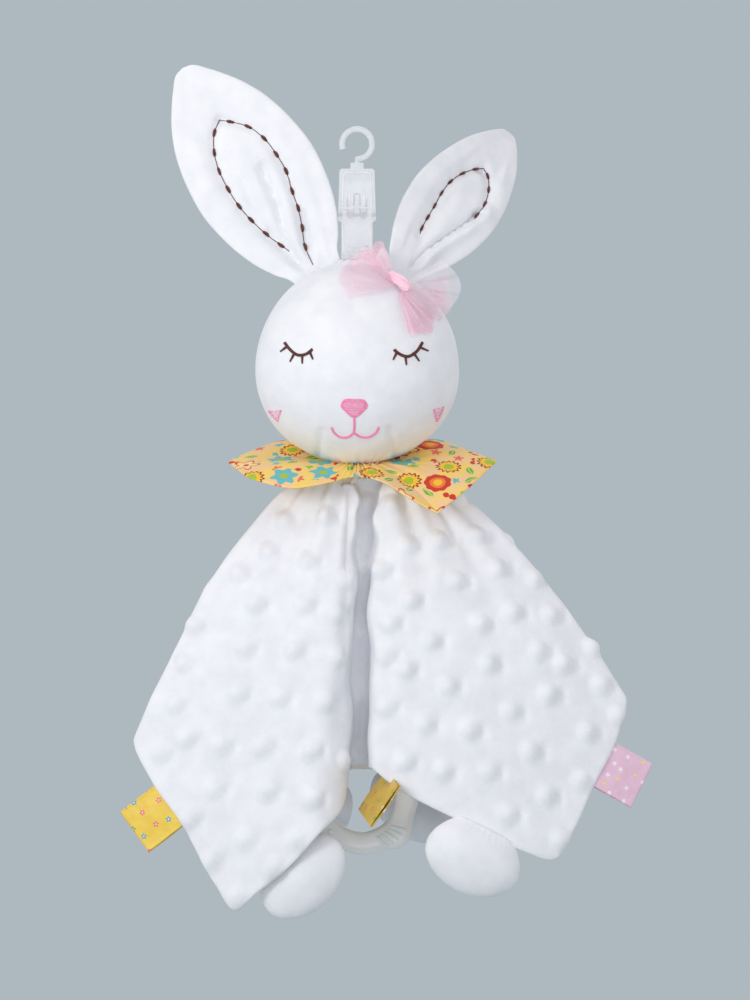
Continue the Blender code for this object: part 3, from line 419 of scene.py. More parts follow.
def capped(grid):
    """Points and faces of a closed skin through rings, with a point in the middle of each end."""
    rows, columns = grid.shape[:2]
    faces = grid_faces(rows, columns)
    for row, middle in ((0, rows * columns), (rows - 1, rows * columns + 1)):
        start = row * columns
        faces += [(start + j, start + (j + 1) % columns, middle) for j in range(columns)]
    return np.concatenate([grid.reshape(-1, 3), grid[0].mean(0)[None], grid[-1].mean(0)[None]]), faces


def smooth_curve(points, per_span, closed=False, corners=()):
    """More points on a curve through the given ones; it turns sharply at the corners."""
    points = np.asarray(points, float)
    count = len(points)
    steps = np.linalg.norm(np.roll(points, -1, 0) - points, axis=1)
    tangents = np.zeros_like(points)
    for i in range(count):
        before, after = (i - 1) % count, (i + 1) % count
        if not closed and i in (0, count - 1):
            a = 0 if i == 0 else count - 2
            tangents[i] = (points[a + 1] - points[a]) / max(steps[a], 1e-9)
        elif i not in corners:
            one, two = max(steps[before], 1e-9), max(steps[i], 1e-9)
            tangents[i] = ((points[after] - points[i]) / two * one
                           + (points[i] - points[before]) / one * two) / (one + two)
    t = (np.arange(per_span) / per_span)[:, None]
    found = []
    for i in range(count if closed else count - 1):
        after = (i + 1) % count
        a, b = tangents[i] * steps[i], tangents[after] * steps[i]
        found.append((2 * t ** 3 - 3 * t ** 2 + 1) * points[i] + (t ** 3 - 2 * t ** 2 + t) * a
                     + (3 * t ** 2 - 2 * t ** 3) * points[after] + (t ** 3 - t ** 2) * b)
    if not closed:
        found.append(points[-1:])
    return np.concatenate(found)


def evenly(points, count, closed=False):
    """The same line cut into equal steps, as count points."""
    if closed:
        points = np.concatenate([points, points[:1]])
    run = run_along(points)
    at = np.linspace(0, run[-1], count, endpoint=not closed)
    return np.stack([np.interp(at, run, points[:, i]) for i in range(points.shape[1])], 1)


def outward(grid):
    """Unit vectors square to a grid of closed rows."""
    return unit(np.cross(np.roll(grid, -1, 1) - np.roll(grid, 1, 1), np.gradient(grid, axis=0)))


def wobble(points, size, seed):
    """Smooth random heights from -1 to 1 with features of a size."""
    shift = Vector((seed * 3.7, seed * 1.3, -seed * 2.9))
    return np.array([noise.noise(Vector(p) / size + shift) for p in points.reshape(-1, 3)]
                    ).reshape(points.shape[:-1])


def off_line(points, line):
    """Distance, seen from the front, from each point to a line of (x, z), and the side it is on."""
    flat = points.reshape(-1, 3)[:, [0, 2]]
    best, side = np.full(len(flat), 1e9), np.zeros(len(flat))
    for a, b in zip(line[:-1], line[1:]):
        way = b - a
        t = np.clip(((flat - a) @ way) / max(way @ way, 1e-12), 0, 1)
        gap = flat - (a + t[:, None] * way)
        far = np.linalg.norm(gap, axis=1)
        side = np.where(far < best, np.sign(way[0] * gap[:, 1] - way[1] * gap[:, 0]), side)
        best = np.minimum(far, best)
    return best.reshape(points.shape[:-1]), side.reshape(points.shape[:-1])


def bell(distance, width):
    return np.exp(-(distance / width) ** 2)


def step(value, low, high):
    t = np.clip((value - low) / (high - low), 0, 1)
    return t * t * (3 - 2 * t)


def seen(places):
    """Places of the front view, from the photograph's frame, as (x, z) in metres."""
    return (np.asarray(places, float) - (357, 132)) * (MM / 2, -MM / 2)


def surface(piece):
    """A tree for asking where a line from the front meets a piece."""
    mesh = piece.data
    return BVHTree.FromPolygons([v.co for v in mesh.vertices], [p.vertices for p in mesh.polygons])


def from_front(tree, x, z):
    """Where a line from the front meets a surface, and the way out of it there."""
    place, normal, _, _ = tree.ray_cast(Vector((x, -0.3, z)), Vector((0, 1, 0)))
    if place is None:
        place, normal, _, _ = tree.find_nearest(Vector((x, -0.05, z)))
    return place, -normal if normal.y > 0 else normal


def laid(tree, places, heights):
    """Points of a surface behind places of the front view, raised by heights in millimetres."""
    found = []
    for (x, z), height in zip(places, heights):
        on, normal = from_front(tree, x, z)
        found.append(on + normal * MM * height)
    return np.array(found)


def thread(line, radius, sides=6, swell=None, closed=False):
    """Points and faces of a round thread along a line, with its ends closed."""
    line = np.asarray(line, float)
    ways = unit(np.roll(line, -1, 0) - np.roll(line, 1, 0) if closed else np.gradient(line, axis=0))
    up = np.array((0.0, 0.0, 1.0) if abs(ways[0][2]) < 0.9 else (1.0, 0.0, 0.0))
    c, s = np.cos(turns(sides))[:, None], np.sin(turns(sides))[:, None]
    rings = []
    for i, (place, way) in enumerate(zip(line, ways)):
        side = unit(np.cross(way, up))
        up = np.cross(side, way)
        rings.append(place + radius * (swell[i] if swell else 1) * (c * side + s * up))
    return (wrapped if closed else capped)(np.array(rings))


def rounded(shares, least, power=2):
    """How thick a thread is, from -1 to 1 along it, so that its ends are round."""
    return [math.sqrt(max(least, 1 - abs(share) ** power)) for share in shares]


def bundle(parts):
    """Many small solids as one list of points and faces."""
    points, faces, count = [], [], 0
    for some, more in parts:
        points.append(some)
        faces += [tuple(i + count for i in face) for face in more]
        count += len(some)
    return np.concatenate(points), faces


# Clip
def clip():
    """Soft edges and looks for the clip's solids, and the raised lines on its front."""
    for name in ("clip_front_jaw", "clip_back_jaw", "clip_pin"):
        node = NODES[name]
        material, slot = LOOKS["steel" if name == "clip_pin" else "clear"]
        node.data.materials.clear()
        node.data.materials.append(material)
        edge = node.modifiers.new("soft_edges", "BEVEL")
        edge.width, edge.segments, edge.limit_method = 0.35 * MM, 2, "ANGLE"
        edge.angle_limit = math.radians(55)
    front_y = -5.0
    frame_line = [(-6.6, -20.4), (6.6, -20.4), (7.4, -38.2), (-7.4, -38.2)]
    window = [(-3.7, -25.2), (3.7, -25.2), (3.7, -37.4), (-3.7, -37.4)]
    corner_cut = 0.8 * MM
    parts = []
    for line, size in ((frame_line, 0.55), (window, 0.4)):
        corners = [np.array((x, front_y, z)) * MM for x, z in line]
        path = [here + unit(other - here) * corner_cut for i, here in enumerate(corners)
                for other in (corners[i - 1], corners[(i + 1) % 4])]
        parts.append(thread(path, size * MM, 8, closed=True))
    uprights = [([(x, front_y, z) for z in (-46.0, -52, -58, -62.4)], 0.45) for x in (-6.9, 6.9)]
    grips = [([(x, front_y, z) for x in (-5.4, 0, 5.4)], 0.35) for z in (-57.5, -59.5, -61.5)]
    parts += [thread(np.array(line) * MM, size * MM, 8) for line, size in uprights + grips]
    add("clip_raised_frame", *bundle(parts), "clear", "hanger")


def spring():
    """Two coils on the pin, the loop between them and the two legs, as one round wire."""
    wire, bore, pitch, coil_turns, steps = 0.7, 3.2, 1.3, 2.5, 56
    radius = (bore + wire) / 2
    loop_y = -3.4 + (3.2 + wire) / 2 + 0.25
    leg_y = 1.8 + 2.8 + (7.5 - 2.8) * 8 / 17 - 0.6
    pin_y, pin_z = pin_place.y / MM, pin_place.z / MM
    start, end = 1.5, 1.5 + coil_turns * pitch
    loop = [(0, loop_y, pin_z + 10.5), (start - 0.35, loop_y, pin_z + 10.5),
            (start, loop_y, pin_z + 9.8), (start, pin_y - radius, pin_z + radius - 0.35)]
    share = np.linspace(0, 1, steps + 1)
    angle = math.pi + math.tau * coil_turns * share
    coil = points_of(start + (end - start) * share, pin_y + radius * np.cos(angle),
                     pin_z - radius * np.sin(angle))
    half = np.concatenate([loop, coil, [(end, leg_y, pin_z + 8)]])
    line = np.concatenate([half[:0:-1] * (-1, 1, 1), half]) * MM
    made = add("clip_spring_wire", *thread(line, wire / 2 * MM, 10), "steel", None, ["clip_spring"])
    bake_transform(made)


# Head
def head_depth_at(x, z):
    rise = z - head_centre.z
    tall = np.where(rise > 0, head_upper, head_lower)
    return head_half.y * np.sqrt(np.maximum(0, 1 - (x / head_half.x) ** 2 - (rise / tall) ** 2))


def head():
    """One skin from the pinched crown in the jaws down to the gathered neck."""
    columns, crown_rows, ball_rows = 192, 14, 110
    crown_reach, crown_z = 20.5, -63.9
    pleat_height, crown_lift, shoulder_height = 0.5 * MM, 2.6 * MM, 7.5 * MM
    gather_height, chin_drop = 0.25 * MM, 2.0 * MM
    turn = turns(columns)
    c, s = np.cos(turn), np.sin(turn)

    def flat_ring(a, b, z, power):
        return points_of(a * MM * squarer(c, power), b * MM * squarer(s, power), z * MM)

    rings = [flat_ring(*row) for row in (
        (0.6, 0.15, -55.35, 1), (3.2, 0.8, -55.4, 0.7), (4.3, 1.2, -55.8, 0.55),
        (4.9, 1.42, -56.8, 0.5), (5.8, 1.48, -58.2, 0.5), (6.8, 1.48, -60, 0.5),
        (7.8, 1.48, -62, 0.5), (8.5, 1.5, -63.3, 0.55), (9.0, 1.75, crown_z, 0.6))]
    for k in range(1, crown_rows + 1):
        t = k / crown_rows
        a, b = 9.0 + 11.5 * t ** 1.1, 1.75 + 16.7 * t ** 1.15
        ring = flat_ring(a, b, 0, 0.6 + 0.4 * min(1, 1.6 * t))
        over = head_centre.z + head_upper * np.sqrt(
            1 - (ring[:, 0] / head_half.x) ** 2 - (ring[:, 1] / head_half.y) ** 2)
        pleat = pleat_height * np.cos(turn * 14 + 1.3 * np.sin(3 * turn)) * math.sin(math.pi * t)
        lift = crown_lift * (1 - t) ** 2
        ring[:, 2] = np.minimum(over + lift, crown_z * MM) + pleat * (1 - t)
        # plush that stands up beside the jaws, towards the right ear
        shoulder = bell(ring[:, 0] - 13.5 * MM, 4.6 * MM) * bell(ring[:, 1], 9 * MM)
        ring[:, 2] += shoulder_height * shoulder * step(ring[:, 0], 8.4 * MM, 11 * MM)
        rings.append(ring)
    first = math.asin(crown_reach * MM / head_half.x)
    last = math.pi - math.asin(neck_radius / head_half.x)
    angle = np.linspace(first, last, ball_rows + 1)[1:, None]
    tall = np.where(angle < math.pi / 2, head_upper, head_lower)
    ball = points_of(head_half.x * np.sin(angle) * c, head_half.y * np.sin(angle) * s,
                     head_centre.z + tall * np.cos(angle))
    grid = np.concatenate([rings, ball])
    out = unit((grid - np.array(head_centre)) / np.array((head_half.x, head_half.y, head_upper)) ** 2)
    fade = step(np.arange(len(grid)), 12, 30)[:, None]
    height = 0.35 * MM * wobble(grid, 22 * MM, 1) * fade
    front = step(-grid[..., 1], 0, 10 * MM)
    for tuck, deep, wide in ((((317, 463), (320, 446), (322, 432)), 1.0, 1.7),
                             (((396, 463), (393, 446), (390, 430)), 1.0, 1.7),
                             (((353, 297), (353.5, 313)), 0.4, 0.8)):
        height -= deep * MM * bell(off_line(grid, seen(tuck))[0], wide * MM) * front
    # gathers all round the neck, and a chin that hangs a little lower in front
    low = step(head_centre.z - grid[..., 2], 0.72 * head_lower, head_lower)
    height += gather_height * low ** 3 * np.cos(turn * 26 + 2 * np.sin(5 * turn))
    grid = grid + out * height[..., None]
    grid[..., 2] -= chin_drop * low ** 2 * np.clip(-s, 0, 1) ** 2
    made = add("head_plush", *capped(grid), "plush", "lovey", ["head_cover", "head_filling", "crown_tuck"])
    return made


# Face
def satin(tree, line, width, slant=0.25, taper=False):
    """Short threads side by side across a line, as satin stitch is sewn."""
    pitch, size, raised = 0.42 * MM, 0.27 * MM, 0.12
    count = max(3, int(run_along(line)[-1] / pitch))
    path = evenly(line, count)
    u = np.array((-1, -0.6, 0, 0.6, 1))
    heights = raised + 0.28 * (1 - u * u) - 0.12 * np.abs(u) ** 3
    parts = []
    for i, (place, way) in enumerate(zip(path, unit(np.gradient(path, axis=0)))):
        half = width / 2 * MM * (1 - 0.55 * i / (count - 1) if taper else 1)
        side = np.array((-way[1], way[0])) + way * slant * (1 if i % 2 else 0.6)
        parts.append(thread(laid(tree, place + np.outer(u, side * half), heights), size))
    return parts


def filled(tree, outline, size, raised):
    """Threads side by side over a whole patch, from edge to edge."""
    pitch = 0.5 * MM
    low, high = outline[:, 1].min(), outline[:, 1].max()
    rows = int((high - low) / pitch)
    u = np.linspace(0, 1, 9)
    parts = []
    for i in range(1, rows):
        z = low + (high - low) * i / rows
        crossings = [a[0] + (b[0] - a[0]) * (z - a[1]) / (b[1] - a[1])
                     for a, b in zip(outline, np.roll(outline, -1, 0)) if (a[1] - z) * (b[1] - z) < 0]
        if len(crossings) < 2:
            continue
        left, right = min(crossings), max(crossings)
        jog = 0.25 * MM * math.sin(i * 2.4)
        places = np.stack([left + (right - left) * u, z + jog * np.sin(u * math.pi)], 1)
        heights = raised + 0.25 * np.sin(math.pi * u) + 0.12 * np.sin(u * 19 + i * 1.9)
        parts.append(thread(laid(tree, places, heights), size * MM))
    return parts


eyes = {
    "left": (((285.5, 344), (291, 351), (299, 356.5), (307, 355.5), (313, 351)),
             (((287.5, 348), (281.5, 352.5)), ((295, 355), (291, 362.5)), ((303, 357), (303, 364.5)),
              ((310.5, 353.5), (313.5, 360.5)))),
    "right": (((394, 351.5), (400, 356), (407, 358), (415.5, 353.5), (422, 344)),
              (((397, 353), (393, 361)), ((405, 357), (406, 366)), ((413, 354), (418.5, 362)),
               ((419, 348.5), (427.5, 352)))),
}
nose = ((343, 400.5), (354.5, 399.5), (366, 401), (368.5, 405.5), (364, 411.5), (354.5, 418),
        (345, 411.5), (340.5, 405.5))
mouth = (((354.5, 416), (354.5, 426), (354, 433)),
         ((354, 433), (349, 437), (341, 437.5), (334.5, 433), (332, 428)),
         ((354, 433), (360, 437), (368, 437.5), (376, 433), (378.5, 428)))
hearts = {
    "left": ((269.5, 411), (274, 411.5), (278.5, 409), (281.5, 411), (281, 416), (278, 421)),
    "right": ((433.5, 410), (436.5, 408), (438.5, 411), (443, 407), (443, 412), (436.5, 421.5)),
}


def face(tree):
    """Closed eyes, nose, mouth and cheek hearts, all embroidered on the head."""
    def sew(name, parts, look, *replaced):
        add(name, *bundle(parts), look, "lovey", replaced)

    lid_width, lash_width, line_width, heart_line_width = 1.3, 1.25, 0.85, 0.6
    for side, (lid, lashes) in eyes.items():
        parts = satin(tree, smooth_curve(seen(lid), 6), lid_width)
        for lash in lashes:
            parts += satin(tree, seen(lash), lash_width, taper=True)
        sew(f"{side}_eye_embroidery", parts, "brown", f"{side}_eye_stitch")
    outline = smooth_curve(seen(nose), 6, closed=True)
    outline = outline + (outline.mean(0) - outline) * 0.06 - (0, 0.4 * MM)
    middle = outline.mean(0)
    sew("nose_embroidery", filled(tree, outline + (middle - outline) * 0.12, 0.3, 0.15), "pink",
        "nose_patch")
    rim = np.concatenate([outline, outline[:1]])
    sew("nose_border_embroidery", satin(tree, rim + (middle - rim) * 0.07, line_width), "rose")
    parts = []
    for line in mouth:
        parts += satin(tree, smooth_curve(seen(line), 5), line_width, slant=0.6)
    sew("mouth_embroidery", parts, "rose", "mouth_stitch")
    for side, corners in hearts.items():
        outline = smooth_curve(seen(corners), 4, closed=True)
        sew(f"{side}_cheek_embroidery", filled(tree, outline, 0.24, 0.05), "blush", f"{side}_cheek_heart")
        strokes = [satin(tree, seen((corners[i], corners[-1])), heart_line_width) for i in (0, 3)]
        sew(f"{side}_cheek_border", strokes[0] + strokes[1], "rose")


# Ears
ears = {
    "left": {
        "length": 121, "width": 64, "tilt": -33.6, "turn": 0, "lean": (4, 12),
        "widths": [(-0.06, 0.36), (0.0, 0.42), (0.07, 0.60), (0.17, 0.80), (0.30, 0.95), (0.44, 1.02),
                   (0.57, 0.98), (0.69, 0.88), (0.80, 0.71), (0.89, 0.50), (0.95, 0.33), (1.0, 0.16),
                   (1.012, 0.02)],
        "runs": [[(219, 119), (230, 121), (248, 126), (264, 138), (276, 154), (286, 171), (292, 191),
                  (298, 208), (302, 228), (305, 247), (313, 265)],
                 [(219, 119), (214, 132), (214, 152), (219, 171), (228, 189), (239, 206), (251, 220),
                  (266, 234), (281, 245), (289, 251)]],
        "dash": 4.2, "dash_size": 0.62,
        "folds": [([(317, 280), (296, 258), (285, 232), (276, 200), (262, 168)], 3.2, 2.4, 2.6),
                  ([(313, 276), (280, 246), (258, 214), (245, 180)], 2.2, 2.8, 1.4),
                  ([(317, 279), (311, 250), (303, 214)], 1.8, 2.2, 1.0),
                  ([(236, 134), (250, 170), (272, 214)], -0.9, 4.5, 0.0)],
    },
    "right": {
        "length": 118, "width": 47.5, "tilt": 37.5, "turn": 15, "lean": (28, 52),
        "widths": [(-0.06, 0.36), (0.0, 0.42), (0.07, 0.58), (0.17, 0.81), (0.30, 0.98), (0.42, 1.03),
                   (0.54, 0.98), (0.66, 0.86), (0.77, 0.71), (0.87, 0.51), (0.94, 0.34), (1.0, 0.16),
                   (1.012, 0.02)],
        "runs": [[(485, 164), (477, 165), (463.5, 170), (451, 179), (442, 191), (435, 204), (428, 216),
                  (422, 227), (420, 233)],
                 [(485, 164), (489, 172), (490, 186), (486, 201), (478, 213), (475, 217)]],
        "dash": 3.6, "dash_size": 0.45,
        "folds": [([(411, 268), (424, 253), (446, 236), (470, 219), (480, 210)], 3.4, 1.7, 3.2),
                  ([(413, 262), (432, 224), (452, 196)], 1.0, 2.6, 0.8)],
    },
}


def ear(side, length, width, tilt, turn, lean, widths, runs, dash, dash_size, folds):
    """A flat stuffed ear on a middle line that leans back, with its folds and running stitch.

    Each run is a line of thread with a dash at all its places but the two ends. Each fold is
    a line, its depth, its width and the height of the roll beside it."""
    root = Vector(JOINTS[f"{side}_ear_bend"]["pos_m"])
    spin = Matrix.Rotation(math.radians(tilt), 3, "Y")
    across = spin @ Matrix.Rotation(math.radians(turn), 3, "Z") @ Vector((1, 0, 0))
    lean_start, lean_end = math.radians(lean[0]), math.radians(lean[1])
    share_places, share_widths = smooth_curve(widths, 12).T

    def section(share, steps=12):
        """The middle of the ear at a share of its length, and the way to its back there."""
        angles = lean_start + (lean_end - lean_start) * share * (np.arange(steps) + 0.5) / steps
        way = Vector((0, np.sin(angles).mean(), np.cos(angles).mean())) * share * length * MM
        angle = lean_start + (lean_end - lean_start) * share
        along = spin @ Vector((0, math.sin(angle), math.cos(angle)))
        return np.array(root + spin @ way), -np.array(across.cross(along))

    rows, columns = 132, 128
    hollow_depth, hollow_width = 2.1 * MM, 2.2 * MM
    welt_height, welt_width, welt_gap = 1.3 * MM, 4 * MM, 7 * MM
    dent_height, dart_depth, dart_width = 0.5 * MM, 1.0 * MM, 2.5 * MM
    shares = -0.05 + 1.062 * (1 - (1 - np.linspace(0, 1, rows)) ** 1.35)
    u, v = np.cos(turns(columns)), np.sin(turns(columns))
    grid, backs = [], []
    for share in shares:
        place, back = section(share)
        wide = np.interp(share, share_places, share_widths)
        fade = 0.28 + 0.72 * math.sin(math.pi * (0.06 + 0.88 * max(share, 0)))
        fade *= min(1, math.sqrt(max(0.0, 1.015 - share) / 0.07))
        bulk = squarer(v, 0.85) * ear_thickness / 2 * fade + ear_cup * wide * (0.5 - u * u)
        grid.append(place + np.outer(u * width * MM / 2 * wide, across) + np.outer(bulk, back))
        backs.append(np.tile(back, (columns, 1)))
    grid, backs = np.array(grid), np.array(backs)
    share = shares[:, None]
    front = np.clip(-v, 0, 1)[None] ** 0.6 * step(share, 0.0, 0.06) * step(1 - share, 0.0, 0.05)
    inside = step(np.abs(u)[None], 0.62, 0.40)
    lines = [smooth_curve(seen(run), 6) for run in runs]
    height = dent_height * wobble(grid, 17 * MM, 5)
    for line in lines:
        far, _ = off_line(grid, line)
        height -= hollow_depth * bell(far, hollow_width)
        height += welt_height * bell(far - welt_gap, welt_width) * (1 - inside)
    for line, deep, wide, roll in folds:
        far, way = off_line(grid, smooth_curve(seen(line), 5))
        height -= deep * MM * bell(far, wide * MM)
        height += roll * MM * np.where(way < 0, bell(far - 1.6 * wide * MM, 2.2 * wide * MM), 0)
    height *= front
    dart, _ = off_line(grid, np.array([root, section(0.42)[0]])[:, [0, 2]])
    back_side = np.clip(v, 0, 1)[None] ** 0.6 * step(share, 0.0, 0.06)
    height -= (dent_height * wobble(grid, 20 * MM, 8) - dart_depth * bell(dart, dart_width)) * back_side
    made = add(f"{side}_ear_plush", *capped(grid - backs * height[..., None]), "plush", None,
               [f"{side}_ear_cover", f"{side}_ear_wadding"])

    tree = surface(made)
    parts = []
    t = np.linspace(-1, 1, 7)
    thread_steps, thread_lift, thread_size = 60, 0.12, 0.22 * MM
    strand_gap, dash_lift = 0.3 * MM, 0.35
    for line, run in zip(lines, runs):
        sunk = laid(tree, evenly(line, thread_steps), [thread_lift] * thread_steps)
        parts.append(thread(sunk, thread_size))
        for place in seen(run[1:-1]):
            near = np.argmin(np.linalg.norm(line - place, axis=1))
            way = unit(line[min(near + 2, len(line) - 1)] - line[max(near - 2, 0)])
            for aside in (-strand_gap, strand_gap):
                middle = place + np.array((-way[1], way[0])) * aside
                heights = dash_lift * (1 - t * t)
                stitch = laid(tree, middle + np.outer(t, way * dash * MM / 2), heights)
                parts.append(thread(stitch, dash_size * MM, swell=rounded(t, 0.08)))
    sewn = add(f"{side}_ear_running_stitch", *bundle(parts), "brown", None, [f"{side}_ear_stitch"])
    for piece in (made, sewn):
        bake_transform(piece)


# Bow
def bow(tree):
    """Layers of ruffled net that leave the knot as fans, and the knot over their roots."""
    knot = seen((397, 288))

    def fan(name, look, angle, sweep, length, flutes, wave, lift, puff, phase, replaced):
        u, t = np.linspace(-1, 1, 73), np.linspace(0, 1, 27)[:, None]
        spread = np.radians(angle + u * sweep / 2)
        root = 0.55 / np.hypot(np.cos(spread) / 3.5, np.sin(spread) / 7.5)
        reach = root + length * t * (1 - 0.10 * u * u + 0.05 * np.sin(4 * u + phase))
        x, z = knot[0] + reach * MM * np.cos(spread), knot[1] + reach * MM * np.sin(spread)
        ripple = 0.85 * wave * t ** 1.2 * np.sin(flutes * math.pi * u + phase + 0.8 * t)
        ripple += 0.15 * wave * t * np.sin(2.3 * flutes * math.pi * u + 2 * phase)
        swell = puff * np.sin(math.pi * (0.85 * t + 0.1)) + lift
        depth = np.maximum(head_depth_at(x, z), 12 * MM) + (swell + ripple) * MM
        grid = points_of(x, -depth, z)
        grid[..., 1] += 0.4 * MM * wobble(grid, 9 * MM, phase * 7)
        cloth = np.dstack([np.broadcast_to(u * length * 0.6, reach.shape), reach])
        made = add(name, grid, grid_faces(*reach.shape, around=False), look, "lovey", replaced,
                   cloth, solid=False)

    for layer in (
            ("bow_left_wing_back", "tulle", 161, 66, 26.5, 3.4, 1.3, 1.4, 3.0, 0.4, ["bow_left_wing"]),
            ("bow_left_wing_front", "tulle", 152, 60, 22.5, 4.3, 1.2, 3.2, 5.0, 2.1, []),
            ("bow_top_loop", "dense_tulle", 124, 34, 21.5, 3.1, 1.0, 2.0, 4.0, 4.4, []),
            ("bow_right_veil", "pale_tulle", -3, 70, 28.5, 3.7, 1.3, 0.7, 3.2, 1.1, []),
            ("bow_right_wing_back", "tulle", -14, 56, 26, 3.2, 1.2, 2.0, 3.6, 3.0, ["bow_right_wing"]),
            ("bow_right_wing_front", "tulle", -26, 46, 22, 3.9, 1.1, 3.6, 4.4, 5.2, []),
            ("bow_tail_back", "dense_tulle", -56, 36, 24.5, 2.8, 1.0, 1.4, 2.4, 0.9, ["bow_tail"]),
            ("bow_tail_front", "tulle", -68, 24, 21, 3.3, 0.9, 2.8, 3.0, 2.7, [])):
        fan(*layer)
    knot_half_width, knot_half_depth, knot_half_length = 2.5 * MM, 2.7 * MM, 7.6 * MM
    knot_lift, knot_turn = 3.9 * MM, math.radians(-40)
    columns, rows = 48, 40
    turn = turns(columns)
    middle, out = from_front(tree, *knot)
    centre = np.array(middle + out * knot_lift)
    slope = Matrix.Rotation(-math.asin(out.z), 3, "X") @ Matrix.Rotation(knot_turn, 3, "Y")
    angle = math.pi * (np.arange(rows)[:, None] + 0.5) / rows
    size = 1 + 0.16 * np.cos(6 * turn + 3.0 * np.cos(angle)) + 0.05 * np.cos(13 * turn)
    size *= np.sin(angle) ** 0.6
    local = points_of(knot_half_width * size * np.cos(turn), knot_half_depth * size * np.sin(turn),
                      knot_half_length * np.cos(angle))
    add("bow_knot_gathers", *capped(local @ np.array(slope).T + centre), "knot", "lovey", ["bow_knot"])


# Collar
collar_rim = [
    (0.0, -0.72, 0.30), (-0.24, -0.84, 0.44), (-0.47, -0.86, 0.53), (-0.82, -0.60, 0.32),
    (-0.97, -0.02, 0.02), (-0.80, 0.36, -0.20), (-0.53, 0.66, -0.42), (-0.14, 0.84, -0.24),
    (0.22, 0.84, -0.24), (0.58, 0.66, -0.44), (0.85, 0.34, -0.20), (1.05, -0.04, 0.0),
    (0.85, -0.64, 0.50), (0.60, -1.0, 1.03), (0.40, -0.98, 0.74), (0.18, -0.84, 0.40),
]
collar_corners = (3, 4, 11, 13)


def collar():
    """Printed cloth, cut with corners, gathered round the neck and flared over the blanket."""
    columns, rows = 512, 64
    rim = np.array(collar_rim) * (collar_reach, collar_depth, -collar_fall) + (0, 0, neck_z)
    rim = evenly(smooth_curve(rim, 16, closed=True, corners=collar_corners), columns, closed=True)
    angle = np.arctan2(rim[:, 1], rim[:, 0])
    c, s = np.cos(angle), np.sin(angle)
    inner = neck_radius + 0.6 * MM
    across = (inner * c / head_half.x) ** 2 + (inner * s / head_half.y) ** 2
    root = points_of(inner * c, inner * s, head_centre.z - head_lower * np.sqrt(1 - across) - 0.8 * MM)
    t = np.linspace(0, 1, rows)[:, None]
    grid = root * (1 - t[..., None]) + rim * t[..., None]
    off_front = np.arctan2(c, -s)
    chin = bell(off_front, 0.75)
    swell = np.sin(math.pi * t) * (2.6 - 1.2 * np.cos(4 * turns(columns))) * (1 - 0.8 * chin)
    grid[..., 2] += (swell - 1.6 * chin * (1 - t) ** 2) * MM
    gathers = np.cos(30 * angle + 2.2 * np.sin(3 * angle)) * (1 - t) ** 1.5
    tie = bell(off_front, 0.22) * np.cos(70 * angle) * (1 - 0.5 * t)
    lift = 0.45 * gathers + 0.9 * tie
    lift = lift + 0.9 * wobble(grid, 19 * MM, 3) * np.sin(math.pi * np.clip(t * 1.1, 0, 1))
    normal = outward(grid)
    normal *= np.sign(normal[rows // 2, :, 2].mean())
    grid = grid + normal * (lift * MM)[..., None]
    edge = grid[-1] + unit(grid[-1] - grid[-2]) * collar_half_wall
    wall = normal * collar_half_wall
    whole = np.concatenate([grid + wall, edge[None], (grid - wall)[::-1]])
    slant = np.linalg.norm(np.diff(grid, axis=0, prepend=grid[:1]), axis=2).cumsum(0) + inner
    cloth = np.stack([slant * c, slant * s], 2) / MM
    back_shift = 61.0
    cloth = np.concatenate([cloth, cloth[-1:], cloth[::-1] + back_shift])
    made = add("collar_printed_cloth", *wrapped(whole), "floral", "lovey", ["collar"], cloth)


# Blanket
hem_shares = [
    (0.019, -0.05, 0.687), (0.0, -0.12, 0.687), (-0.010, -0.40, 0.695), (-0.045, -0.76, 0.79),
    (-0.115, -0.90, 0.833), (-0.246, -0.90, 0.918), (-0.373, -0.86, 0.979), (-0.450, -0.81, 1.018),
    (-0.526, -0.74, 0.957), (-0.650, -0.62, 0.818), (-0.768, -0.46, 0.716),
    (-0.828, -0.24, 0.622), (-0.75, 0.0, 0.626), (-0.63, 0.14, 0.664), (-0.69, 0.38, 0.664),
    (-0.76, 0.57, 0.654), (-0.69, 0.81, 0.748), (-0.54, 0.95, 0.870), (-0.40, 1.0, 0.925),
    (-0.25, 1.0, 0.810), (-0.10, 1.0, 0.715), (-0.012, 0.88, 0.702), (0.0, 0.68, 0.695),
    (0.019, 0.60, 0.695), (0.038, 0.68, 0.695), (0.053, 0.88, 0.702), (0.164, 1.0, 0.715),
    (0.36, 1.0, 0.800), (0.567, 1.0, 0.900), (0.73, 0.86, 0.790), (0.895, 0.57, 0.636),
    (0.76, 0.14, 0.612), (1.0, -0.24, 0.528), (0.963, -0.43, 0.626), (0.873, -0.62, 0.738),
    (0.806, -0.71, 0.829), (0.731, -0.79, 0.900), (0.619, -0.86, 0.881), (0.463, -0.90, 0.832),
    (0.299, -0.90, 0.785), (0.149, -0.88, 0.734), (0.058, -0.79, 0.692), (0.041, -0.40, 0.690),
    (0.038, -0.12, 0.687),
]
hem = np.array(hem_shares) * (blanket_reach, blanket_depth, -blanket_fall) + (0, 0, blanket_z)

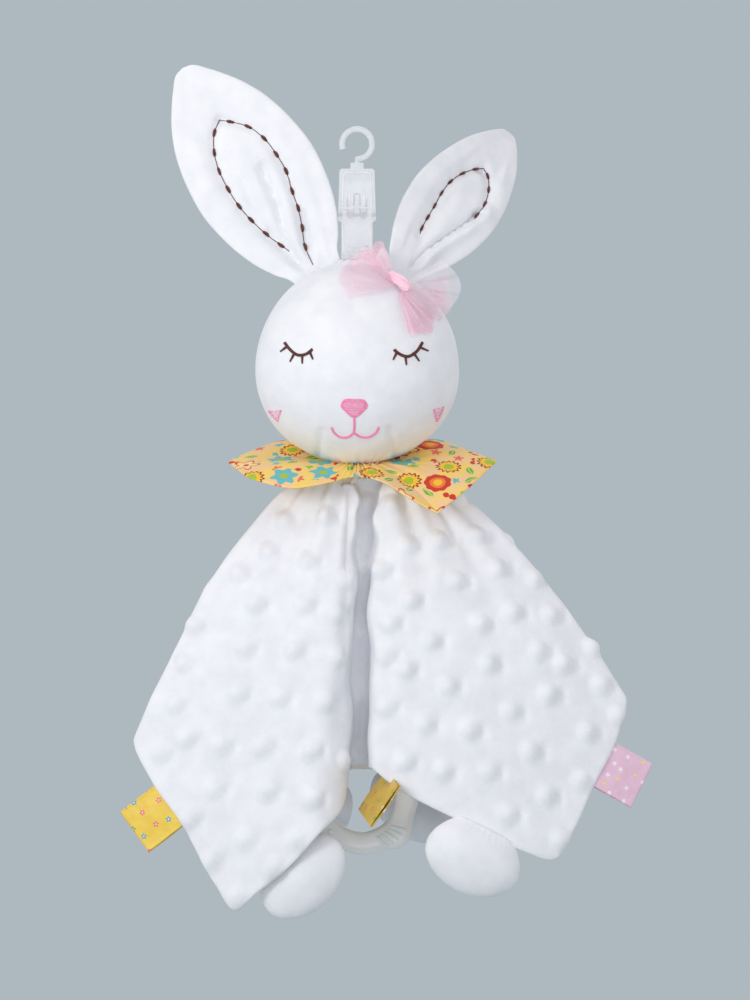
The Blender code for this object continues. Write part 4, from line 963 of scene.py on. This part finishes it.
front_dots = [
    (266, 551), (307, 561), (255, 604), (303, 604), (335, 612), (244, 648), (294, 650), (338, 655),
    (190, 691), (238, 693), (279, 697), (326, 700), (184, 738), (223, 743), (262, 745), (310, 748),
    (216, 786), (268, 790), (311, 796), (246, 837), (296, 838), (160, 752), (282, 520), (325, 515),
    (438, 540), (496, 564), (455, 579), (410, 598), (516, 611), (479, 624), (430, 639), (390, 621),
    (537, 650), (488, 661), (447, 684), (404, 668), (600, 684), (548, 693), (509, 708), (468, 729),
    (574, 736), (424, 723), (385, 705), (529, 751), (486, 770), (544, 794), (580, 780), (441, 770),
    (403, 760), (505, 812), (408, 545), (562, 664), (470, 536), (384, 655),
]


def neck_points(angle):
    return points_of(neck_radius * np.cos(angle), neck_radius * np.sin(angle), blanket_z)


def hang(root, shoulder, end, t):
    """A curve from the neck, past a shoulder, down to the hem."""
    shoulder = shoulder * (1, 1, 0) + (0, 0, blanket_z + 1 * MM)
    return root * (1 - t) ** 2 + shoulder * (2 * t * (1 - t)) + end * t * t


def blanket_grid(columns, rows):
    """Points of the outer face, from the neck (first row) down to the hem (last row)."""
    end = evenly(smooth_curve(hem, 24, closed=True), columns, closed=True)
    angle = -math.pi / 2 - turns(columns)
    root = neck_points(angle)
    shoulder = end * shoulder_share
    length = np.linalg.norm(shoulder, axis=1, keepdims=True)
    straight = 2 * root * (1, 1, 0)
    shoulder = straight + (shoulder - straight) * step(length, 22 * MM, 30 * MM)
    skin = hang(root, shoulder, end, (np.linspace(0, 1, rows) ** row_spread)[:, None, None])
    sleeve = [root + (0, 0, rise * MM) for rise in (4, 2.2, 1)]
    return np.concatenate([np.array(sleeve), skin]), angle


def open_front(grid, rows):
    """Draws the front valley back and its right side away, so that the panels stand apart."""
    columns = grid.shape[1]
    side = (np.arange(columns) + columns // 2) % columns - columns // 2
    far = side * math.tau / columns
    t = np.concatenate([[0] * (len(grid) - rows), np.linspace(0, 1, rows) ** row_spread])[:, None]
    rise = step(t, 0.02, 0.2)
    right_draw, left_draw, hem_draw = 12.5 * MM, 1.3 * MM, 2.0 * MM
    right = step(-far, -0.05, 0.04) * (1 - step(-far, 0.35, 1.2))
    left = step(far, -0.02, 0.05) * (1 - step(far, 0.3, 0.9))
    grid[..., 0] += right_draw * rise * (1 - t) ** 1.5 * right
    grid[..., 0] += (left_draw * rise * (1 - t) - hem_draw * step(t, 0.7, 0.95)) * left
    # the two edges run in and out by themselves
    for way, seed, amount in ((1, 0.4, 1.3), (-1, 2.9, 1.2)):
        near = bell(way * far - 0.14, 0.16)
        wave = np.sin(21 * t + seed) + 0.5 * np.sin(43 * t + 2 * seed)
        grid[..., 0] += amount * MM * rise * wave * near * (1 - step(t, 0.9, 1.0))
    valley = 1 - step(np.abs(far), 0.03, 0.13)
    depth = (15.5 - 13 * t) * MM
    grid[..., 1] += depth * rise * np.sin(math.pi * np.clip(t, 0, 1)) ** 0.8 * valley


def smoothed(field, times):
    for _ in range(times):
        field = (field + np.roll(field, 1, 1) + np.roll(field, -1, 1)) / 3
        inner = (field[:-2] + field[1:-1] + field[2:]) / 3
        field = np.concatenate([field[:1], inner, field[-1:]])
    return field


def dot_centres(grid, ways, down):
    """Which points carry a dot: those the photograph shows, then even rows over the rest."""
    rows, columns = grid.shape[:2]
    flat = grid.reshape(-1, 3)
    turned_away = ways[:, 1] >= -0.25
    dot_rows, first_row, row_step, pitch = 9, 0.17, 0.098, 23 * MM
    centres = []
    for x, z in seen(front_dots):
        gap = np.hypot(flat[:, 0] - x, flat[:, 2] - z) + turned_away
        if gap.min() < 3 * MM:
            centres.append(int(np.argmin(gap)))
    for k in range(dot_rows):
        row = min(3 + int(np.searchsorted(down, first_row + row_step * k)), rows - 3)
        run = np.linalg.norm(np.roll(grid[row], -1, 0) - grid[row], axis=1).cumsum()
        count = max(4, round(run[-1] / pitch))
        for i in range(count):
            column = int(np.searchsorted(run, run[-1] * (i + 0.5 * (k % 2)) / count)) % columns
            near = row * columns + column
            if np.linalg.norm(flat[centres] - flat[near], axis=1).min() > dot_spacing:
                centres.append(near)
    return centres


def blanket():
    """The outer minky with its folds and raised dots, and the thinner lining inside it."""
    columns, rows = 960, 168
    grid, angle = blanket_grid(columns, rows)
    open_front(grid, rows)
    normal = unit(smoothed(outward(grid), 3))
    if (normal[rows // 2] * grid[rows // 2])[:, 1].mean() < 0:
        normal = -normal
    down = np.concatenate([[0], np.cumsum(np.linalg.norm(np.diff(grid, axis=0), axis=2).mean(1))])
    down = (down / down[-1])[:, None]
    # soft folds that start at the gathers and run out down the cloth
    fold = np.cos(15 * angle + 1.4 * np.sin(2 * angle)) + 0.6 * np.cos(24 * angle + 2.0)
    near = step(down, 0.0, 0.10) * (1 - step(down, 0.12, 0.55))
    lift = 1.1 * fold * near + 1.3 * wobble(grid, 42 * MM, 2) * step(down, 0.1, 0.35)
    lift += 0.35 * wobble(grid, 13 * MM, 4) * step(down, 0.05, 0.2)
    plain = grid + normal * (lift * MM)[..., None]
    flat, ways = plain.reshape(-1, 3), normal.reshape(-1, 3)
    height, dents = np.zeros(len(flat)), np.zeros(len(flat))
    dot_rise = 0.15 + 0.85 * step(np.abs(ways[:, 1]), 0.25, 0.65)
    for centre in dot_centres(plain, ways, down[:, 0]):
        far = np.linalg.norm(flat - flat[centre], axis=1)
        alike = ways @ ways[centre]
        close = (far < dot_radius) & (alike > 0.1)
        x = far[close] / dot_radius
        height[close] = np.maximum(height[close], dot_rise[centre] * (1 - x ** 2) ** 1.8)
        # a crease in the cloth beside each dot
        beside = (far < 14 * MM) & (alike > 0.5) & (ways[:, 1] < -0.3)
        aside = flat[beside] - flat[centre] - crease_place
        dents[beside] += bell(aside[:, 0], crease_half_width) * bell(aside[:, 2], crease_half_length)
    shape = grid.shape[:2]
    dents = dents.reshape(shape) * np.clip(down * 4, 0, 1) * np.clip((1 - down) * 12, 0, 1)
    rise = dot_height * height.reshape(shape) - crease_depth * np.clip(dents, 0, 1)
    grid = plain + normal * rise[..., None]
    edge = unit(grid[-1] - grid[-2])
    inner = plain - normal * minky_wall
    roll = [grid[-1] + edge * 0.6 * MM - normal[-1] * 0.4 * MM,
            plain[-1] + edge * 0.9 * MM - normal[-1] * minky_wall / 2,
            inner[-1] + edge * 0.6 * MM + normal[-1] * 0.4 * MM]
    whole = np.concatenate([grid, np.array(roll), inner[::-3]])
    made = add("blanket_minky", *wrapped(whole), "minky", "lovey", ["blanket_cover"])
    few, ways = plain[::3, ::4], normal[::3, ::4]
    drawn_in = step(np.linspace(0, 1, len(few)), 1.0, 0.93)[:, None, None]
    high = few - ways * (minky_wall + 0.1 * MM + 0.8 * MM * drawn_in)
    low = high - ways * lining_wall
    low = low + ways * (0.25 * MM * wobble(low, 9 * MM, 9))[..., None]
    lining = np.concatenate([high, low[::-1]])
    inside = add("blanket_lining_cloth", *wrapped(lining), "lining", "lovey", ["blanket_lining"])


# Hem pieces
def hem_frame(index, part):
    """Where a piece is sewn to the hem: along the hem, out of the cloth, and down."""
    run = run_along(np.concatenate([hem, hem[:1]]))
    root = neck_points(-math.pi / 2 - math.tau * run[:-1] / run[-1])
    shoulder = hem * shoulder_share
    near = np.linalg.norm(shoulder, axis=1, keepdims=True) < 2 * neck_radius
    shoulder = np.where(near, 2 * root, shoulder)
    last_ring_but_one = (8 / 9) ** 1.25
    above, edge = ([Vector(point) for point in hang(root, shoulder, hem, t)]
                   for t in (last_ring_but_one, 1.0))
    after = (index + 1) % len(hem)
    along = (edge[index] - edge[after]).normalized()
    place = edge[index].lerp(edge[after], part)
    down = (place - above[index].lerp(above[after], part)).normalized()
    out = down.cross(along).normalized()
    down = along.cross(out).normalized()
    centre = place - out * (minky_wall + 0.3 * MM)
    return Matrix.Translation(centre) @ Matrix((along, out, down)).transposed().to_4x4()


def seated(points, seat):
    """Points moved from the hem's own frame to their place."""
    return points @ np.array(seat.to_3x3()).T + np.array(seat.to_translation())


def paws():
    """Stuffed paws, open at the seam where the hem holds them."""
    widths = smooth_curve([(-0.10, 0.60), (0.0, 0.70), (0.12, 0.83), (0.28, 0.95), (0.46, 1.0), (0.64, 0.94),
                           (0.80, 0.76), (0.92, 0.50), (0.975, 0.28), (1.0, 0.03)], 8)
    rows, columns = 72, 112
    share = -0.06 + 1.06 * (1 - (1 - np.linspace(0, 1, rows)[:, None]) ** 1.5)
    angle = turns(columns)
    c, s = np.cos(angle), np.sin(angle)
    wide = paw_half_width * np.interp(share, *widths.T) * (1 - 0.05 * bell(s, 0.10))
    rise = np.maximum(0, np.sin(math.pi * np.minimum(1, 0.10 + 0.90 * np.maximum(share, 0)))) ** 0.6
    thick = np.maximum(paw_half_thickness * rise, 0.25 * MM)
    plain = points_of(wide * c, thick * s, paw_length * share)
    pucker_height, lump_height = 0.18 * MM, 0.9 * MM
    drop, tuck_back, tuck_up = 0.3 * MM, 10.15 * MM, 7.5 * MM
    pucker = pucker_height * np.cos(angle * 34) * bell(share - 0.02, 0.09)
    way = points_of(c * 0.4, s, 0) * np.abs(s)[:, None]
    # each seat: the hem's corner, the way to the next, and how far the paw is tucked under
    seats = {"front_left": (4, 0.98, 1), "front_right": (37, 0.9, -0.07), "back_right": (26, 0.45, 1),
             "back_left": (19, 0.2, 1)}
    for order, (name, (index, part, tucked)) in enumerate(seats.items()):
        seat = hem_frame(index, part)
        seat = seat @ Matrix.Translation((0, -tuck_back * tucked, drop - tuck_up * tucked))
        height = lump_height * wobble(plain + order * 0.1, 15 * MM, 6) * step(share, 0.05, 0.3)
        grid = seated(plain + (height + pucker)[..., None] * way, seat)
        made = add(f"{name}_paw_plush", *capped(grid), "plush", None,
                   [f"{name}_paw_cover", f"{name}_paw_filling"])
        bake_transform(made)


def band(line, ways, run, width, across, thick):
    """Rings of a flat band along a line of (y, z), and where each point is on the flat cloth."""
    ways = unit(ways)
    side = np.stack([ways[:, 1], -ways[:, 0]], 1)
    offset = np.concatenate([thick, -thick[::-1]])
    flat = line[:, None] + side[:, None] * offset[:, None]
    x = np.broadcast_to(np.concatenate([across, across[::-1]]) * width / 2, flat.shape[:2])
    return np.dstack([x, flat]), np.dstack([x, np.broadcast_to(run[:, None], x.shape)]) / MM


def tag(name, index, part, spin, gap, look):
    """A ribbon folded in two and sewn in at both ends, with a thicker woven edge."""
    wall, bow_out = 0.6 * MM, 0.4 * MM
    half = (gap * MM + wall) / 2
    t = np.arange(24) / 24
    side = np.stack([-half - bow_out * np.sin(math.pi * t) ** 2, t * (tag_length - half)], 1)
    turn = math.pi * np.arange(13) / 12
    end = np.stack([-half * np.cos(turn), tag_length - half + half * np.sin(turn)], 1)
    line = np.concatenate([side, end, side[::-1] * (-1, 1)])
    run = run_along(line)
    across = np.array([-1, -0.985, -0.95, -0.92, *np.linspace(-0.85, 0.85, 23), 0.92, 0.95, 0.985, 1])
    thick = np.where(np.abs(across) > 0.93, 0.62, 0.42) * wall
    thick[[0, -1]] *= 0.5
    grid, cloth = band(line, np.gradient(line, axis=0), run, tag_width, across, thick)
    z = line[:, 1:]
    curl = 0.25 * MM * np.sin(grid[..., 0] / tag_width * 5.2 + z / (6 * MM))
    grid[..., 1] += curl * np.sin(math.pi * np.minimum(1, z / tag_length))
    seat = hem_frame(index, part) @ Matrix.Rotation(math.radians(spin), 4, "Z")
    seat = seat @ Matrix.Translation((0, 0, -2 * MM))
    flat = np.concatenate([cloth.reshape(-1, 2), cloth[0].mean(0)[None], cloth[-1].mean(0)[None]])
    made = add(f"{name}_ribbon", *capped(seated(grid, seat)), look, "lovey", [name], flat)


# Teether
def teether():
    """A soft ring with four lobes, ribs on two of them and knobs on the others."""
    turn, section = turns(144), turns(28)[:, None]
    lobes = 0.055 * np.cos(4 * (turn - math.pi / 4)) + 0.035 * np.cos(8 * turn)
    outer = ring_reach * (0.91 + lobes)
    across, deep = squarer(np.cos(section), 0.62), squarer(np.sin(section), 0.72)
    radius = (outer + ring_bore) / 2 + (outer - ring_bore) / 2 * across
    grid = points_of(radius * np.cos(turn), -deep * ring_half_thickness, radius * np.sin(turn))
    add("teether_silicone", *wrapped(grid + np.array(teether_centre)), "silicone", "teether",
        ["teether_ring"])

    def on_ring(radius, angle, y):
        return np.array(teether_centre) + np.array((radius * math.cos(angle), y,
                                                    radius * math.sin(angle))) * MM

    rib_size, knob_size, relief_y = 0.95 * MM, 1.35 * MM, 3.7
    first_lobe, rib_step = math.radians(-52), math.radians(6.6)
    parts = []
    for quarter in range(4):
        angle = first_lobe + math.pi / 2 * quarter
        for face_y in (-1, 1):
            if quarter % 2 == 0:
                for i in range(5):
                    a = angle + (i - 2) * rib_step
                    line = [on_ring(r, a + 0.10 * (r - 24) / 5, face_y * relief_y)
                            for r in np.linspace(19.8, 27.6, 9)]
                    parts.append(thread(line, rib_size, 10, rounded(np.linspace(-1, 1, 9), 0.1, 4)))
            else:
                for r, aside in ((21.2, -9), (24.4, -7), (27.0, -5), (22.6, 8), (25.8, 9)):
                    line = [on_ring(r, angle + math.radians(aside), face_y * (relief_y + h))
                            for h in np.linspace(-1.3, 1.3, 9)]
                    swell = rounded(np.linspace(-0.99, 0.99, 9), 0.02)
                    parts.append(thread(line, knob_size, 14, swell))
    add("teether_ribs", *bundle(parts), "silicone", "teether")


def teether_loop():
    """The strip that the teether hangs in: a closed band round the top of the ring."""
    count, strip_width = 72, 10 * MM
    low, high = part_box("teether_loop")
    half_y, half_z = (high.y - low.y) / 2 - 0.4 * MM, (high.z - low.z) / 2 - 0.4 * MM
    line = np.stack([half_y * squarer(np.cos(turns(count)), 0.45),
                     half_z * squarer(np.sin(turns(count)), 0.45)], 1)
    line = evenly(line, count, closed=True)
    step_length = np.linalg.norm(np.roll(line, -1, 0) - line, axis=1).mean()
    across = np.array([-1, *np.linspace(-0.94, 0.94, 13), 1])
    thick = np.where(np.abs(across) > 0.9, 0.9, 0.7) * 0.35 * MM
    grid, cloth = band(line, np.roll(line, -1, 0) - np.roll(line, 1, 0), np.arange(count) * step_length,
                       strip_width, across, thick)
    made = add("teether_loop_ribbon", *wrapped(grid + np.array((low + high) / 2)), "lining",
               "teether_hang", ["teether_loop"], cloth)


# Scene
def stage():
    """Floor, world, four soft lamps and the camera of the photograph."""
    look = Look("pale_floor", Roughness=0.9)
    mottled(look, (176, 187, 193), (172, 183, 189), 3, 2, [])
    half, floor_z = 0.8, -0.56
    mesh = bpy.data.meshes.new("floor")
    mesh.from_pydata([(-half, -half, floor_z), (half, -half, floor_z), (half, half, floor_z),
                      (-half, half, floor_z)], [], [(0, 1, 2, 3)])
    mesh.materials.append(look.material)
    floor = in_scene("floor", mesh)

    world = bpy.data.worlds.new("studio")
    bpy.context.scene.world = world
    world.use_nodes = True
    nodes, links = world.node_tree.nodes, world.node_tree.links
    nodes.clear()
    output, mix, light, backdrop, path, rays, more = (nodes.new("ShaderNode" + kind) for kind in (
        "OutputWorld", "MixShader", "Background", "Background", "LightPath", "Math", "Math"))
    light.inputs["Color"].default_value = (0.955, 0.965, 1.0, 1)
    light.inputs["Strength"].default_value = 0.72
    backdrop.inputs["Color"].default_value = rgb(174, 185, 191)
    rays.operation = more.operation = "MAXIMUM"
    for start, end in ((path.outputs["Is Camera Ray"], rays.inputs[0]),
                       (path.outputs["Is Glossy Ray"], rays.inputs[1]),
                       (rays.outputs[0], more.inputs[0]),
                       (path.outputs["Is Transmission Ray"], more.inputs[1]),
                       (more.outputs[0], mix.inputs[0]), (light.outputs[0], mix.inputs[1]),
                       (backdrop.outputs[0], mix.inputs[2]), (mix.outputs[0], output.inputs[0])):
        links.new(start, end)

    for name, place, size, power, colour in (
            ("key", (-1.0, -1.1, 0.15), 0.5, 7.2, (1.0, 0.99, 0.97)),
            ("top", (0.45, -1.1, 0.9), 0.6, 1.5, (1.0, 0.99, 0.98)),
            ("fill", (0.18, -1.45, -0.85), 0.7, 6.0, (1.0, 0.98, 0.97)),
            ("back", (0.3, 1.4, 0.5), 1.0, 3.5, (1.0, 1.0, 1.0))):
        lamp = bpy.data.lights.new(name, "AREA")
        lamp.energy, lamp.size, lamp.color = power, size, colour
        made = in_scene(name, lamp)
        made.location = place
        made.rotation_euler = (Vector((0, 0, -0.2)) - Vector(place)).to_track_quat("-Z", "Y").to_euler()

    distance, view_height, sensor = 4.0, 0.5, 36
    camera = in_scene("camera", bpy.data.cameras.new("camera"))
    camera.data.lens = sensor * distance / view_height
    camera.data.clip_end = 20
    camera.location = (0.009, -distance, -0.184)
    camera.rotation_euler = (math.pi / 2, 0, 0)
    bpy.context.scene.camera = camera
    bpy.context.scene.view_settings.view_transform = "Standard"


clip()
spring()
head_tree = surface(head())
face(head_tree)
for side, measures in ears.items():
    ear(side, **measures)
bow(head_tree)
blanket()
collar()
paws()
tag("left_tag", 9, 0.4, 0, 1.2, "yellow")
tag("right_tag", 33, 0.5, 0, 1.2, "rose_ribbon")
tag("centre_tag", 40, 0.30, 55, 0.5, "mustard")
teether()
teether_loop()
stage()
